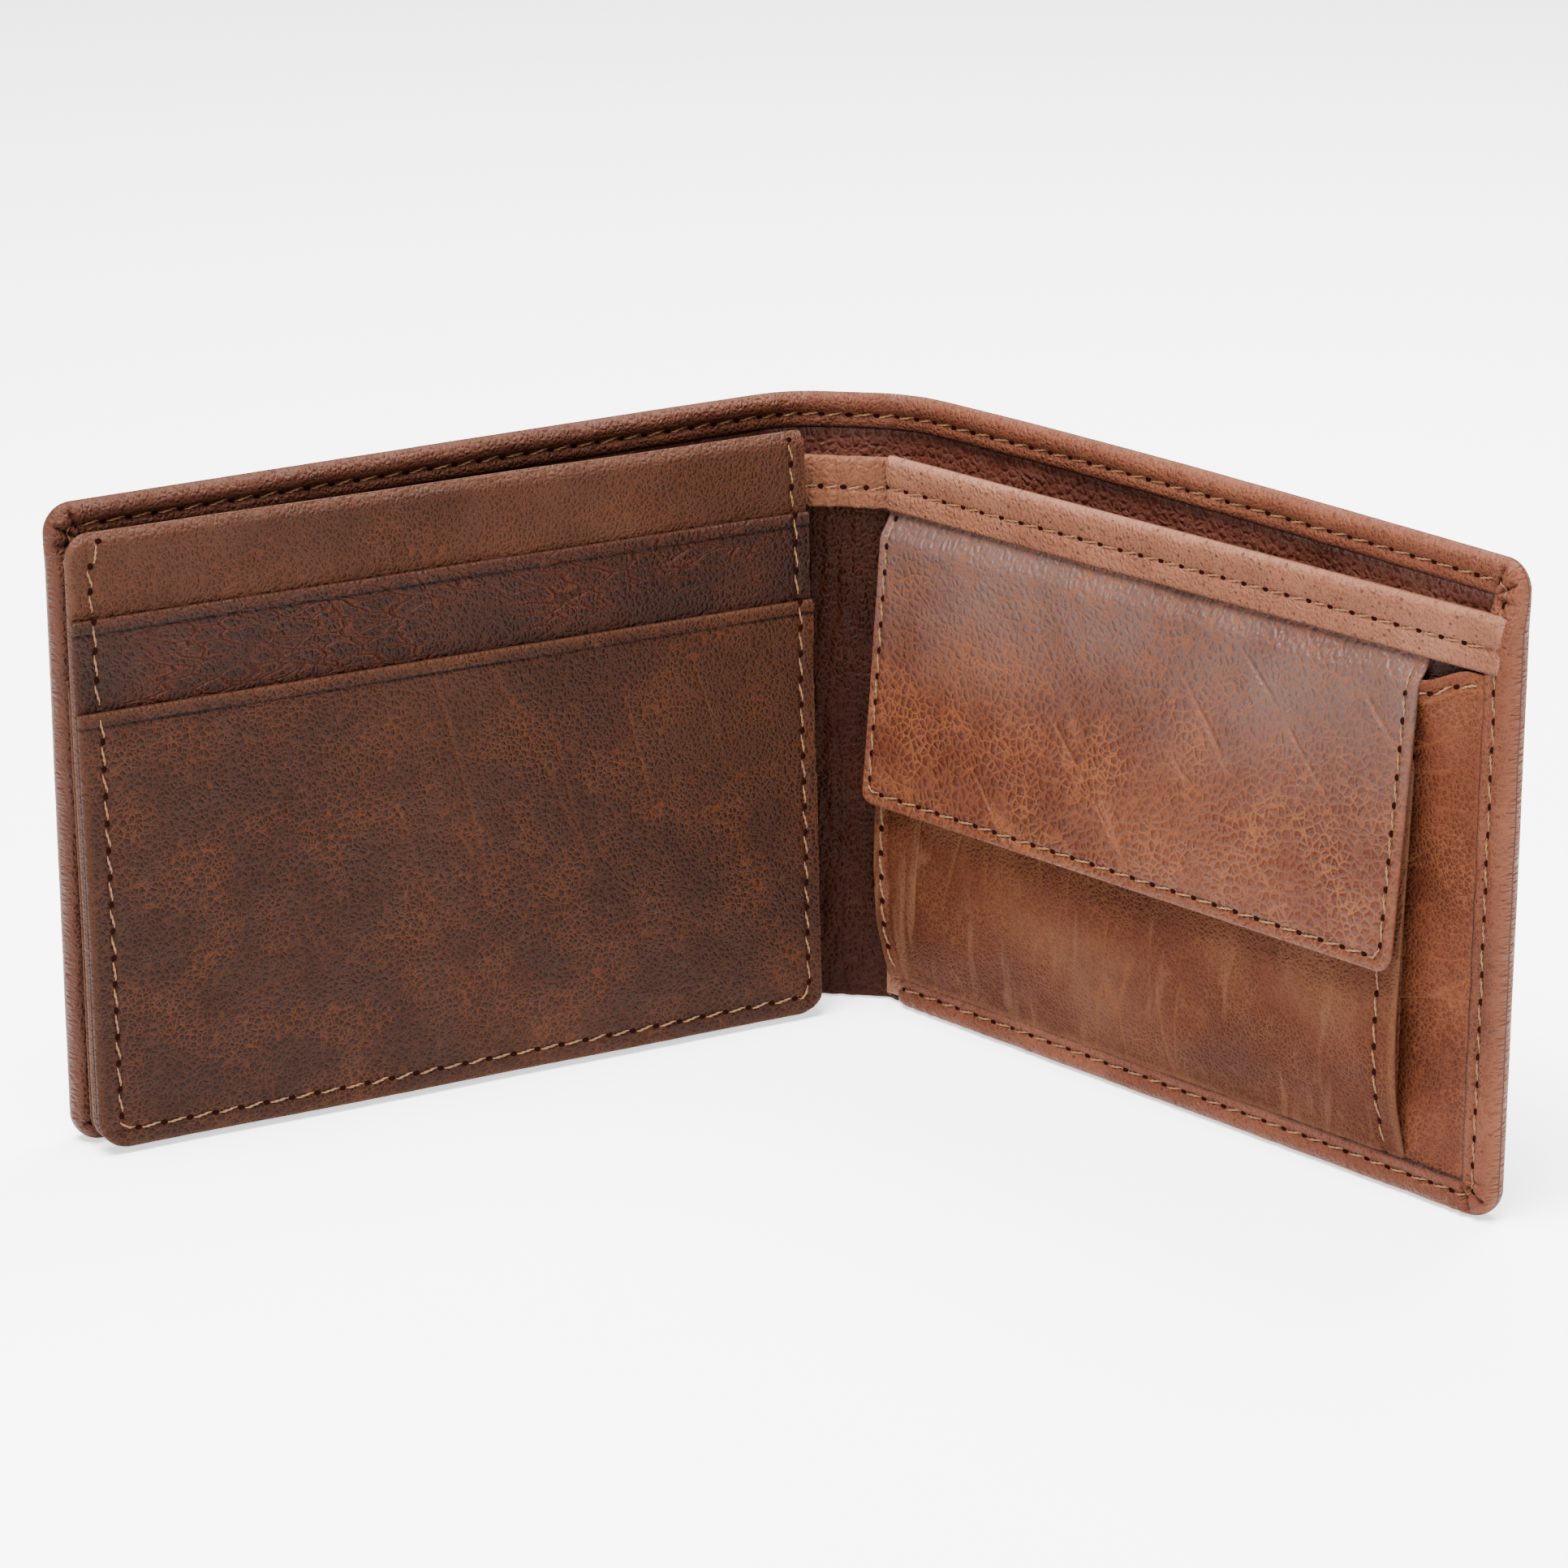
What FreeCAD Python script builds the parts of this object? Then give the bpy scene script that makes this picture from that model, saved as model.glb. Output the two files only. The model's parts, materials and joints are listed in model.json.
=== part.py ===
import FreeCAD, Part
import Sketcher
import os

# Bifold wallet standing open on its bottom edges.  Millimetres, +Z up, the V opens towards -Y.
# Every half is laid out flat in its own frame: u runs from the fold axis to the outer end,
# v is the height above the middle of the inner panel (positive towards the reader), z is up.
# The half is then turned about its vertical fold axis by fold_turn.

CELLS = [
    ("fold_gap", 13.2),          # distance between the two vertical fold axes
    ("fold_turn", 38.5),         # each half is turned this far from the flat-open wallet
    ("set_back", 34.25),          # fold axes behind the middle of the footprint
    ("half_length", 117.5),      # fold axis to outer end
    ("wallet_height", 92),
    ("inner_height", 84),        # inner panels stop below the cover's top edge
    ("leather", 1.1),            # cover leather
    ("cover_depth", 7.8),        # cover's outer face behind the inner panel at the fold
    ("cover_start", 1.2),        # cover half starts this far from the fold axis
    ("cover_wedge", 2.56),       # the note compartment narrows towards the outer end
    ("cover_run", 116.2),        # length of a cover half along its own plane
    ("lining_front", 1.15),
    ("lining_back", 1.75),
    ("hem_inner", 2.7),          # inner face of the turned hem above the cover's outer face
    ("hem_width", 5.2),
    ("corner", 4),
    ("spine_half", 7.4),         # half the width of the spine cover
    ("strip_half", 5.8),         # half the width of the inner spine strip
    ("panel_half", 0.5),         # half the inner panel's thickness
    ("panel_start", 0.8),
    ("band_front", 1.4),         # front face of the bound top edge
    ("band_bottom", 76.5),
    ("band_start", 1.8),
    ("lip_back", 0.6),
    ("lip_front", 1.5),          # turned end and bottom hems in front of the inner panel
    ("lip_top", 89.6),
    ("floor_wall", 1),           # leather closing the bottom of the note compartment
    ("wall_near", 7.1),          # its depth at the fold and at the outer end
    ("wall_far", 2),
    ("slip_top", 72),            # mouth of the slip pocket behind the coin pocket
    ("slip_front", 1.3),
    ("coin_end", 101.5),         # outer end of the coin pocket
    ("coin_start", 3),
    ("coin_top", 64),
    ("coin_bottom", 4.2),
    ("coin_mouth", 1.6),         # coin pocket front's back face at its mouth
    ("coin_lean", 2.8),
    ("flap_start", 1.8),
    ("flap_end", 102.8),
    ("flap_top", 75.95),
    ("flap_drop", 43),
    ("flap_rise", 1.73),         # flap's back face at its top edge
    ("flap_lean", 5.2),
    ("flap_corner", 2.5),
    ("leaf_start", 1.8),
    ("leaf_end", 116.2),
    ("leaf_top", 88.2),
    ("leaf_bottom", 1.4),
    ("leaf_corner", 3),
    ("slot_one", 76.8),          # mouth heights of the two front card slots
    ("slot_two", 64),
    ("slot_rear", 68),           # mouth height of the slot on the leaf's back
    ("thread", 0.5),             # seam width and stand-off
    ("thread_rise", 0.15),
]

doc = FreeCAD.newDocument("bifold_wallet")
sheet = doc.addObject("Spreadsheet::Sheet", "Sizes")
for row, (alias, value) in enumerate(CELLS, start=1):
    sheet.set("A%d" % row, alias)
    sheet.set("B%d" % row, str(value))
    sheet.setAlias("B%d" % row, alias)
doc.recompute()


def cells(expression):
    """Prefix every cell name in an expression with the sheet's name."""
    words = []
    word = ""
    names = set(alias for alias, _ in CELLS)
    for letter in str(expression) + " ":
        if letter.isalnum() or letter == "_":
            word += letter
        else:
            words.append("Sizes." + word if word in names else word)
            words.append(letter)
            word = ""
    return "".join(words).strip()


# frame name: (side, base x, base y, turn about the vertical); side -1 mirrors u
COVER_OUT = "(fold_gap / 2 + cover_start * cos(fold_turn) + cover_depth * sin(fold_turn))"
COVER_BACK = "set_back - cover_start * sin(fold_turn) + cover_depth * cos(fold_turn)"
FRAMES = {
    "spine": (1, "0", "set_back", "0"),
    "left": (-1, "-fold_gap / 2", "set_back", "fold_turn"),
    "right": (1, "fold_gap / 2", "set_back", "-fold_turn"),
    "left_cover": (-1, "-" + COVER_OUT, COVER_BACK, "fold_turn + cover_wedge"),
    "right_cover": (1, COVER_OUT, COVER_BACK, "-fold_turn - cover_wedge"),
}


def new_body(label, frame):
    side, base_x, base_y, turn = FRAMES[frame]
    body = doc.addObject("PartDesign::Body", label)
    body.Label = label
    body.Placement = FreeCAD.Placement(FreeCAD.Vector(0, 0, 0), FreeCAD.Rotation(FreeCAD.Vector(0, 0, 1), 0))
    body.setExpression("Placement.Base.x", cells(base_x))
    body.setExpression("Placement.Base.y", cells(base_y))
    body.setExpression("Placement.Rotation.Angle", cells(turn))
    return body


def new_sketch(body, role, x, y, depth, lean="0"):
    """Sketch on an origin plane, moved by x, y in the plane and depth along its normal."""
    sketch = body.newObject("Sketcher::SketchObject", body.Name + "_outline")
    plane = [item for item in body.Origin.OriginFeatures if item.Role == role][0]
    sketch.AttachmentSupport = [(plane, "")]
    sketch.MapMode = "FlatFace"
    sketch.AttachmentOffset = FreeCAD.Placement(
        FreeCAD.Vector(0, 0, 0), FreeCAD.Rotation(FreeCAD.Vector(1, 0, 0), -1))
    sketch.setExpression("AttachmentOffset.Base.x", cells(x))
    sketch.setExpression("AttachmentOffset.Base.y", cells(y))
    sketch.setExpression("AttachmentOffset.Base.z", cells(depth))
    if lean == "0":
        sketch.AttachmentOffset = FreeCAD.Placement(FreeCAD.Vector(0, 0, 0), FreeCAD.Rotation())
    else:
        sketch.setExpression("AttachmentOffset.Rotation.Angle", cells("-(%s)" % lean))
    return sketch


def draw_quad(sketch, points):
    """Four lines with their corners tied; the first corner sits on the sketch origin."""
    for index in range(4):
        start = FreeCAD.Vector(points[index][0], points[index][1], 0)
        end = FreeCAD.Vector(points[(index + 1) % 4][0], points[(index + 1) % 4][1], 0)
        sketch.addGeometry(Part.LineSegment(start, end), False)
    for index in range(4):
        sketch.addConstraint(Sketcher.Constraint("Coincident", index, 2, (index + 1) % 4, 1))
    sketch.addConstraint(Sketcher.Constraint("Coincident", 0, 1, -1, 1))


def bind_length(sketch, kind, line, value, expression):
    number = sketch.addConstraint(Sketcher.Constraint(kind, line, 1, line, 2, value))
    sketch.setExpression("Constraints[%d]" % number, cells(expression))


def pad(body, sketch, length):
    feature = body.newObject("PartDesign::Pad", body.Name + "_pad")
    feature.Profile = sketch
    feature.setExpression("Length", cells(length))
    body.Tip = feature
    doc.recompute()
    return feature


def round_corners(body, feature, side, corners, radius):
    """Round the chosen corners; outer means away from the fold axis."""
    box = feature.Shape.BoundBox
    names = []
    for number, edge in enumerate(feature.Shape.Edges, start=1):
        first, last = edge.Vertexes[0].Point, edge.Vertexes[-1].Point
        along = last.sub(first)
        if abs(along.y) < 0.9 * along.Length:
            continue
        outer = (edge.CenterOfMass.x > box.Center.x) == (side > 0)
        upper = edge.CenterOfMass.z > box.Center.z
        corner = ("outer" if outer else "inner") + ("_top" if upper else "_bottom")
        if corner in corners:
            names.append("Edge%d" % number)
    fillet = body.newObject("PartDesign::Fillet", body.Name + "_round")
    fillet.Base = (feature, names)
    fillet.setExpression("Radius", cells(radius))
    body.Tip = fillet
    doc.recompute()


def panel(label, frame, u_from, u_to, z_from, z_to, v_from, v_to, corners=(), radius="corner", lean="0"):
    """Flat leather panel hanging from its top edge; lean swings its bottom forward."""
    side = FRAMES[frame][0]
    body = new_body(label, frame)
    start = u_from if side > 0 else "-(%s)" % u_to
    sketch = new_sketch(body, "XZ_Plane", start, z_to, v_from, lean)
    draw_quad(sketch, [(0, 0), (10, 0), (10, -5), (0, -5)])
    sketch.addConstraint(Sketcher.Constraint("Horizontal", 0))
    sketch.addConstraint(Sketcher.Constraint("Vertical", 1))
    sketch.addConstraint(Sketcher.Constraint("Horizontal", 2))
    sketch.addConstraint(Sketcher.Constraint("Vertical", 3))
    bind_length(sketch, "Distance", 0, 10, "(%s) - (%s)" % (u_to, u_from))
    bind_length(sketch, "Distance", 1, 5, "(%s) - (%s)" % (z_to, z_from))
    feature = pad(body, sketch, "(%s) - (%s)" % (v_to, v_from))
    if corners:
        round_corners(body, feature, side, corners, radius)
    return body


def bottom_wall(label, frame):
    """Wedge of leather closing the bottom of the note compartment."""
    side = FRAMES[frame][0]
    body = new_body(label, frame)
    start = "panel_start" if side > 0 else "-(half_length - leather)"
    first, last = ("wall_near", "wall_far") if side > 0 else ("wall_far", "wall_near")
    sketch = new_sketch(body, "XY_Plane", start, "-panel_half", "0")
    draw_quad(sketch, [(0, 0), (10, 0), (10, 3), (0, 3)])
    sketch.addConstraint(Sketcher.Constraint("Horizontal", 0))
    sketch.addConstraint(Sketcher.Constraint("Vertical", 1))
    sketch.addConstraint(Sketcher.Constraint("Vertical", 3))
    bind_length(sketch, "Distance", 0, 10, "half_length - leather - panel_start")
    bind_length(sketch, "Distance", 1, 3, last)
    bind_length(sketch, "Distance", 3, 3, first)
    pad(body, sketch, "floor_wall")


def disc(label, frame, u_centre, drop, z_top, v_face, radius, depth, lean):
    """Round snap plate on a leaning panel, drop below the panel's top edge."""
    body = new_body(label, frame)
    sketch = new_sketch(body, "XZ_Plane", u_centre, z_top, v_face, lean)
    sketch.addGeometry(Part.Circle(FreeCAD.Vector(0, -drop, 0), FreeCAD.Vector(0, 0, 1), radius), False)
    sketch.addConstraint(Sketcher.Constraint("Radius", 0, radius))
    sketch.addConstraint(Sketcher.Constraint("PointOnObject", 0, 3, -2))
    sketch.addConstraint(Sketcher.Constraint("DistanceY", 0, 3, -1, 1, drop))
    pad(body, sketch, str(depth))


def spine():
    panel("cover_spine", "spine", "-spine_half", "spine_half", "0", "wallet_height",
          "-cover_depth", "-cover_depth + leather")
    panel("lining_spine", "spine", "-spine_half", "spine_half", "floor_wall + 0.05", "wallet_height - 1",
          "-cover_depth + lining_front", "-cover_depth + lining_back")
    panel("hem_top_spine", "spine", "-spine_half", "spine_half", "wallet_height - hem_width", "wallet_height",
          "-cover_depth + lining_back + 0.05", "-cover_depth + hem_inner")
    panel("spine_strip", "spine", "-strip_half", "strip_half", "floor_wall + 0.05", "inner_height",
          "-panel_half", "panel_half")
    panel("band_spine", "spine", "-(strip_half - 1)", "strip_half - 1", "band_bottom", "inner_height + 0.6",
          "panel_half + 0.05", "band_front")
    panel("hem_bottom_spine", "spine", "-strip_half", "strip_half", "0", "floor_wall",
          "-cover_depth + leather + 0.05", "panel_half")
    panel("stitch_top_spine", "spine", "-spine_half", "spine_half",
          "wallet_height - 3.2", "wallet_height - 3.2 + thread",
          "-cover_depth + hem_inner", "-cover_depth + hem_inner + thread_rise")
    panel("stitch_band_spine", "spine", "-(strip_half - 1)", "strip_half - 1",
          "inner_height - 4.6", "inner_height - 4.6 + thread", "band_front", "band_front + thread_rise")


def cover_half(side):
    frame = side + "_cover"
    panel("cover_" + side, frame, "0", "cover_run", "0", "wallet_height", "0", "leather",
          ("outer_top", "outer_bottom"))
    panel("lining_" + side, frame, "0", "cover_run - 2", "floor_wall + 0.05", "wallet_height - 1",
          "lining_front", "lining_back")
    panel("hem_top_" + side, frame, "0", "cover_run", "wallet_height - hem_width", "wallet_height",
          "lining_back + 0.05", "hem_inner", ("outer_top",))
    panel("stitch_top_" + side, frame, "0.5", "cover_run - 4", "wallet_height - 3.2",
          "wallet_height - 3.2 + thread", "hem_inner", "hem_inner + thread_rise")


def inner_half(side):
    """Inner panel with its bound top edge and the hems that wrap its outer end and bottom."""
    panel("inner_panel_" + side, side, "panel_start", "half_length - leather - 0.05",
          "floor_wall + 0.05", "inner_height", "-panel_half", "panel_half")
    panel("band_" + side, side, "band_start", "half_length - hem_width - 0.05", "band_bottom",
          "inner_height + 0.6", "panel_half + 0.05", "band_front")
    panel("hem_end_" + side, side, "half_length - hem_width", "half_length", "0", "lip_top",
          "lip_back", "lip_front", ("outer_top", "outer_bottom"))
    panel("edge_end_" + side, side, "half_length - leather", "half_length", "corner",
          "wallet_height - corner - 1.3", "-1.4", "panel_half + 0.05")
    panel("hem_bottom_" + side, side, "band_start", "half_length - hem_width - 0.05", "0", "hem_width",
          "lip_back", "lip_front")
    bottom_wall("bottom_wall_" + side, side)
    panel("stitch_end_" + side, side, "half_length - 3.1", "half_length - 3.1 + thread", "4", "lip_top - 4",
          "lip_front", "lip_front + thread_rise")
    panel("stitch_bottom_" + side, side, "band_start + 1", "half_length - 5.5", "2.6", "2.6 + thread",
          "lip_front", "lip_front + thread_rise")


def card_leaf():
    """Leaf with card slots that hangs from the left half's top edge."""
    panel("leaf_hinge_strip", "left", "leaf_start + 1", "leaf_end - 4.2", "inner_height + 0.75", "leaf_top - 0.2",
          "panel_half + 0.05", "band_front + 0.3")
    rounds = ("outer_top", "outer_bottom", "inner_top", "inner_bottom")
    lower_rounds = ("outer_bottom", "inner_bottom")
    panel("leaf_rear_pocket", "left", "leaf_start", "leaf_end", "leaf_bottom", "slot_rear", "2.1", "2.6",
          lower_rounds, "leaf_corner")
    panel("leaf_lining", "left", "leaf_start", "leaf_end", "leaf_bottom", "leaf_top", "2.7", "3.2",
          rounds, "leaf_corner")
    panel("leaf_top_panel", "left", "leaf_start", "leaf_end", "leaf_bottom", "leaf_top", "3.3", "4",
          rounds, "leaf_corner")
    panel("leaf_pocket_upper", "left", "leaf_start", "leaf_end", "leaf_bottom", "slot_one", "4.1", "4.8",
          lower_rounds, "leaf_corner")
    panel("leaf_pocket_lower", "left", "leaf_start", "leaf_end", "leaf_bottom", "slot_two", "4.9", "5.7",
          lower_rounds, "leaf_corner")
    for name, u_from in (("inner", "leaf_start + 1.8"), ("outer", "leaf_end - 1.8 - thread")):
        panel("stitch_leaf_" + name, "left", u_from, u_from + " + thread", "leaf_bottom + 3", "slot_two - 1",
              "5.7", "5.7 + thread_rise")
    panel("stitch_leaf_bottom", "left", "leaf_start + 3", "leaf_end - 3", "leaf_bottom + 1.8",
          "leaf_bottom + 1.8 + thread", "5.7", "5.7 + thread_rise")


def coin_pocket():
    """Slip pocket, coin pocket with folded sides, and its hinged flap with a hidden snap."""
    panel("slip_pocket", "right", "band_start", "half_length - hem_width - 0.05", "hem_width + 0.05", "slip_top",
          "panel_half + 0.05", "slip_front")
    panel("coin_front", "right", "coin_start", "coin_end", "coin_bottom", "coin_top", "coin_mouth",
          "coin_mouth + 0.8", ("outer_top",), "flap_corner", "coin_lean")
    for name, u_from in (("inner", "coin_start"), ("outer", "coin_end - 0.7")):
        panel("coin_gusset_" + name, "right", u_from, u_from + " + 0.7", "hem_width + 1.2", "40",
              "slip_front + 0.05", "slip_front + 1.2")
    panel("coin_base", "right", "coin_start + 0.8", "coin_end - 0.8", "hem_width + 0.1", "hem_width + 1.1",
          "slip_front + 0.05", "4.3")
    panel("flap_lining", "right", "flap_start", "flap_end", "flap_top - flap_drop", "flap_top",
          "flap_rise", "flap_rise + 0.4", ("outer_bottom", "inner_bottom"), "flap_corner", "flap_lean")
    panel("flap_outer", "right", "flap_start", "flap_end", "flap_top - flap_drop", "flap_top",
          "flap_rise + 0.42", "flap_rise + 1", ("outer_bottom", "inner_bottom"), "flap_corner", "flap_lean")
    middle = "(flap_start + flap_end) / 2"
    disc("snap_socket", "right", middle, 29, "coin_top", "coin_mouth + 0.82", 5, 0.4, "coin_lean")
    disc("snap_stud", "right", middle, 38, "flap_top", "flap_rise - 0.42", 4.5, 0.4, "flap_lean")
    for name, u_from in (("inner", "flap_start + 1.8"), ("outer", "flap_end - 1.8 - thread")):
        panel("stitch_flap_" + name, "right", u_from, u_from + " + thread", "flap_top - flap_drop + 2.5",
              "flap_top", "flap_rise + 1.03", "flap_rise + 1.03 + thread_rise", lean="flap_lean")


spine()
for half in ("left", "right"):
    cover_half(half)
    inner_half(half)
card_leaf()
coin_pocket()
doc.recompute()

os.makedirs("parts", exist_ok=True)
for item in doc.Objects:
    if "Invalid" in item.State or "Error" in item.State:
        raise RuntimeError("feature failed: " + item.Label)
bodies = [item for item in doc.Objects if item.TypeId == "PartDesign::Body"]
for body in bodies:
    if body.Shape.isNull() or not body.Shape.isValid():
        raise RuntimeError("bad shape: " + body.Label)
    body.Shape.exportStep("parts/" + body.Label + ".step")
print(len(bodies), "nodes written")
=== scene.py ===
import json
import math

import bpy
import numpy as np
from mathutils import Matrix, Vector


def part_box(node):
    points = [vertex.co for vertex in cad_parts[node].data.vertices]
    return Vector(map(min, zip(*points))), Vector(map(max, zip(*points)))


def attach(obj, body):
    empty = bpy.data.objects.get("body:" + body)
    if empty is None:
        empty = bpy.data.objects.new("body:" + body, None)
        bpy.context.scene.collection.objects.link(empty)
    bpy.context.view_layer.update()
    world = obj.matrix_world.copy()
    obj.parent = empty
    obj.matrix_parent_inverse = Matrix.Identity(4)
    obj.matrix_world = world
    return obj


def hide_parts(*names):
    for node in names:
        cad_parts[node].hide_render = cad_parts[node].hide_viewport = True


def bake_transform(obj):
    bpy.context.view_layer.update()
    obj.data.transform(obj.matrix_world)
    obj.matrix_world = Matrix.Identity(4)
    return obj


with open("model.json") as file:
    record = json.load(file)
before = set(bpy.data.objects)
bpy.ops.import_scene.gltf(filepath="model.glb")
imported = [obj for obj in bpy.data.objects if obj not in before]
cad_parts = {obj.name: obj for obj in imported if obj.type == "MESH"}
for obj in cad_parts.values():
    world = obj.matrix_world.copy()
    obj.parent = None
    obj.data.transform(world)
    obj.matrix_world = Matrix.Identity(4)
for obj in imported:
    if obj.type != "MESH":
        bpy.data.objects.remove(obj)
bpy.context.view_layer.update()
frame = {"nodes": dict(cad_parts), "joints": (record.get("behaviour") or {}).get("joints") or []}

# ---- frame facts, in millimetres
MM = 1000.0
JOINTS = {joint["name"]: joint for joint in frame["joints"]}
AXIS_X = JOINTS["fold_right"]["pos_m"][0] * MM
AXIS_Y = JOINTS["fold_right"]["pos_m"][1] * MM
TURN = math.radians(90.0 - JOINTS["fold_left"]["range_deg"][1])
SIDES = {"left": -1.0, "right": 1.0}


def extent(node, side):
    """Lowest and highest (u, v, z) of a CAD node in a half's flat coordinates."""
    mesh = frame["nodes"][node].data
    co = np.array([vertex.co for vertex in mesh.vertices], float) * MM
    sign = SIDES[side]
    dx = co[:, 0] * sign - AXIS_X
    dy = co[:, 1] - AXIS_Y
    u = dx * math.cos(TURN) - dy * math.sin(TURN)
    v = -dx * math.sin(TURN) - dy * math.cos(TURN)
    flat = np.stack([u, v, co[:, 2]], axis=1)
    return flat.min(0), flat.max(0)


HEIGHT = extent("cover_left", "left")[1][2]
HALF = extent("hem_end_right", "right")[1][0]
INNER_TOP = extent("inner_panel_right", "right")[1][2]
BAND_LOW = extent("band_right", "right")[0][2]
LIP = extent("hem_end_right", "right")[1][1]
SPINE_BACK = (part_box("cover_spine")[1].y * MM) - AXIS_Y
COVER_END = -extent("edge_end_right", "right")[0][1] + 1.2
LEAF_LOW, LEAF_HIGH = extent("leaf_top_panel", "left")
SLOT_ONE = extent("leaf_pocket_upper", "left")[1][2]
SLOT_TWO = extent("leaf_pocket_lower", "left")[1][2]
SLOT_REAR = extent("leaf_rear_pocket", "left")[1][2]
FLAP_LOW, FLAP_HIGH = extent("flap_outer", "right")
COIN_LOW, COIN_HIGH = extent("coin_front", "right")

HEM = 5.2                   # width of the turned hem
SEAM = 3.1                  # seam to edge of the cover
CORNER = 4.2                # radius of the cover's outer corners
PITCH = 3.9                 # one stitch to the next
NEEDLE = 0.42               # thread ends short of each needle hole by this much
THREAD = 0.18               # radius of the thread
SLANT = 0.3                 # each stitch lies a little across the seam
COVER_BEND = 11.0           # reach of the cover's bend on each side of the fold
STRIP_BEND = 2.6            # and of the strip's
FLAT_UNIT = 100.0           # millimetres to one unit of the flat pattern's coordinates
REAR_SHIFT = 250.0          # rear faces lie this far along the same pattern
DYE = (0.25, 0.285, 0.30)   # brightness of the three channels of every dye
DEPTH = 1.2                 # and how saturated they are
RANDOM = np.random.default_rng(11)
WAVES = RANDOM.uniform(0.0, 1.0, (40, 14, 4))


# ---- small maths
def smooth(low, high, value):
    t = np.clip((value - low) / (high - low), 0.0, 1.0)
    return t * t * (3.0 - 2.0 * t)


def bell(value, centre, width):
    return np.exp(-((value - centre) / width) ** 2)


def ripple(x, y, seed, size, stretch=1.0):
    """Smooth random height from -1 to 1 with features about size across, longer along y by stretch."""
    total = np.zeros(np.broadcast(x, y).shape)
    for angle, phase, scale, weight in WAVES[seed]:
        turn = angle * math.pi
        rate = (0.6 + scale) * 2.0 * math.pi / size
        wave = x * math.cos(turn) * rate + y * math.sin(turn) * rate / stretch
        total = total + (0.5 + weight) * np.sin(wave + phase * 2.0 * math.pi)
    return total / 5.5


# ---- from flat leather to the standing wallet
def bend_path(corner, far_direction, reach, u):
    """Plan path: straight along +x up to the corner, round it, then along far_direction."""
    start = corner - np.array([reach, 0.0])
    finish = corner + far_direction * reach
    t = np.clip((u + reach) / (2.0 * reach), 0.0, 1.0)[..., None]
    curve = (1 - t) ** 2 * start + 2 * t * (1 - t) * corner + t ** 2 * finish
    before = np.minimum(u + reach, 0.0)[..., None] * np.array([1.0, 0.0])
    after = np.maximum(u - reach, 0.0)[..., None] * far_direction
    tangent = (1 - t) * np.array([1.0, 0.0]) + t * far_direction
    tangent = tangent / np.linalg.norm(tangent, axis=-1, keepdims=True)
    return curve + before + after, tangent


DIRECTION = np.array([math.cos(TURN), -math.sin(TURN)])


def to_world(side, plan, z):
    """Plan points of the right half, mirrored for the left, as world points."""
    x = plan[..., 0] * SIDES[side]
    y = plan[..., 1] + AXIS_Y
    return np.stack([x, y, z + 0.0 * x], axis=-1)


def inner_place(side):
    """Inner layers: bend sharply at the fold axis."""
    def place(u, v, z):
        corner = np.array([AXIS_X, 0.0])
        centre, tangent = bend_path(corner, DIRECTION, 1.6, u)
        normal = np.stack([tangent[..., 1], -tangent[..., 0]], axis=-1)
        return to_world(side, centre + normal * v[..., None], z)
    return place


COVER_TIP = np.array([AXIS_X, 0.0]) + DIRECTION * HALF + COVER_END * np.array([-DIRECTION[1], DIRECTION[0]])


def cover_corner(depth):
    """Where the spine's line meets the half's line in plan, and the way and distance on to the tip."""
    corner = np.array([AXIS_X + depth * math.tan(TURN / 2.0) * 1.12, depth])
    run = np.linalg.norm(COVER_TIP - corner)
    return corner, (COVER_TIP - corner) / run, run


COVER_RUN = cover_corner(SPINE_BACK)[0][0] + cover_corner(SPINE_BACK)[2]
BOW = {"left": 0.3, "right": 1.6}


def cover_path(s, depth, bow):
    """Outer face of the cover in plan, s from the middle of the spine."""
    corner, direction, run = cover_corner(depth)
    u = (s - corner[0]) * run / (COVER_RUN - corner[0])
    points, tangent = bend_path(corner, direction, 6.0, u)
    normal = np.stack([tangent[..., 1], -tangent[..., 0]], axis=-1)
    along = np.clip(u / run, 0.0, 1.0)
    out = bow * np.sin(math.pi * along ** 0.8)
    return points - normal * out[..., None], normal


def cover_place(side):
    """Cover layers: v is the depth inwards from the outer face; pinched together along the bottom."""
    def place(s, v, z):
        top, top_normal = cover_path(s, SPINE_BACK, BOW[side])
        low, low_normal = cover_path(s, COVER_END + 0.2, 0.0)
        lift = smooth(-8.0, 78.0, z)[..., None]
        points = low + (top - low) * lift
        normal = low_normal + (top_normal - low_normal) * lift
        normal = normal / np.linalg.norm(normal, axis=-1, keepdims=True)
        return to_world(side, points + normal * v[..., None], z)
    return place


# ---- leather panels as meshes
def lines(low, high, step, marks=()):
    """Grid lines: even steps, packed closely at both ends and around the marks."""
    count = max(int(round((high - low) / step)), 2)
    values = list(np.linspace(low, high, count + 1))
    for offset in (0.05, 0.14, 0.28, 0.46, 0.7, 1.0, 1.4, 1.9):
        values += [low + offset, high - offset]
    for mark in marks:
        values += [mark + offset for offset in (-0.75, -0.4, -0.18, -0.06, 0.06, 0.18, 0.4, 0.75)]
    values = np.unique(np.round([v for v in values if low <= v <= high], 3))
    keep = [values[0]]
    for value in values[1:-1]:
        if value - keep[-1] > 0.045 and values[-1] - value > 0.045:
            keep.append(value)
    return np.array(keep + [values[-1]])


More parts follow.
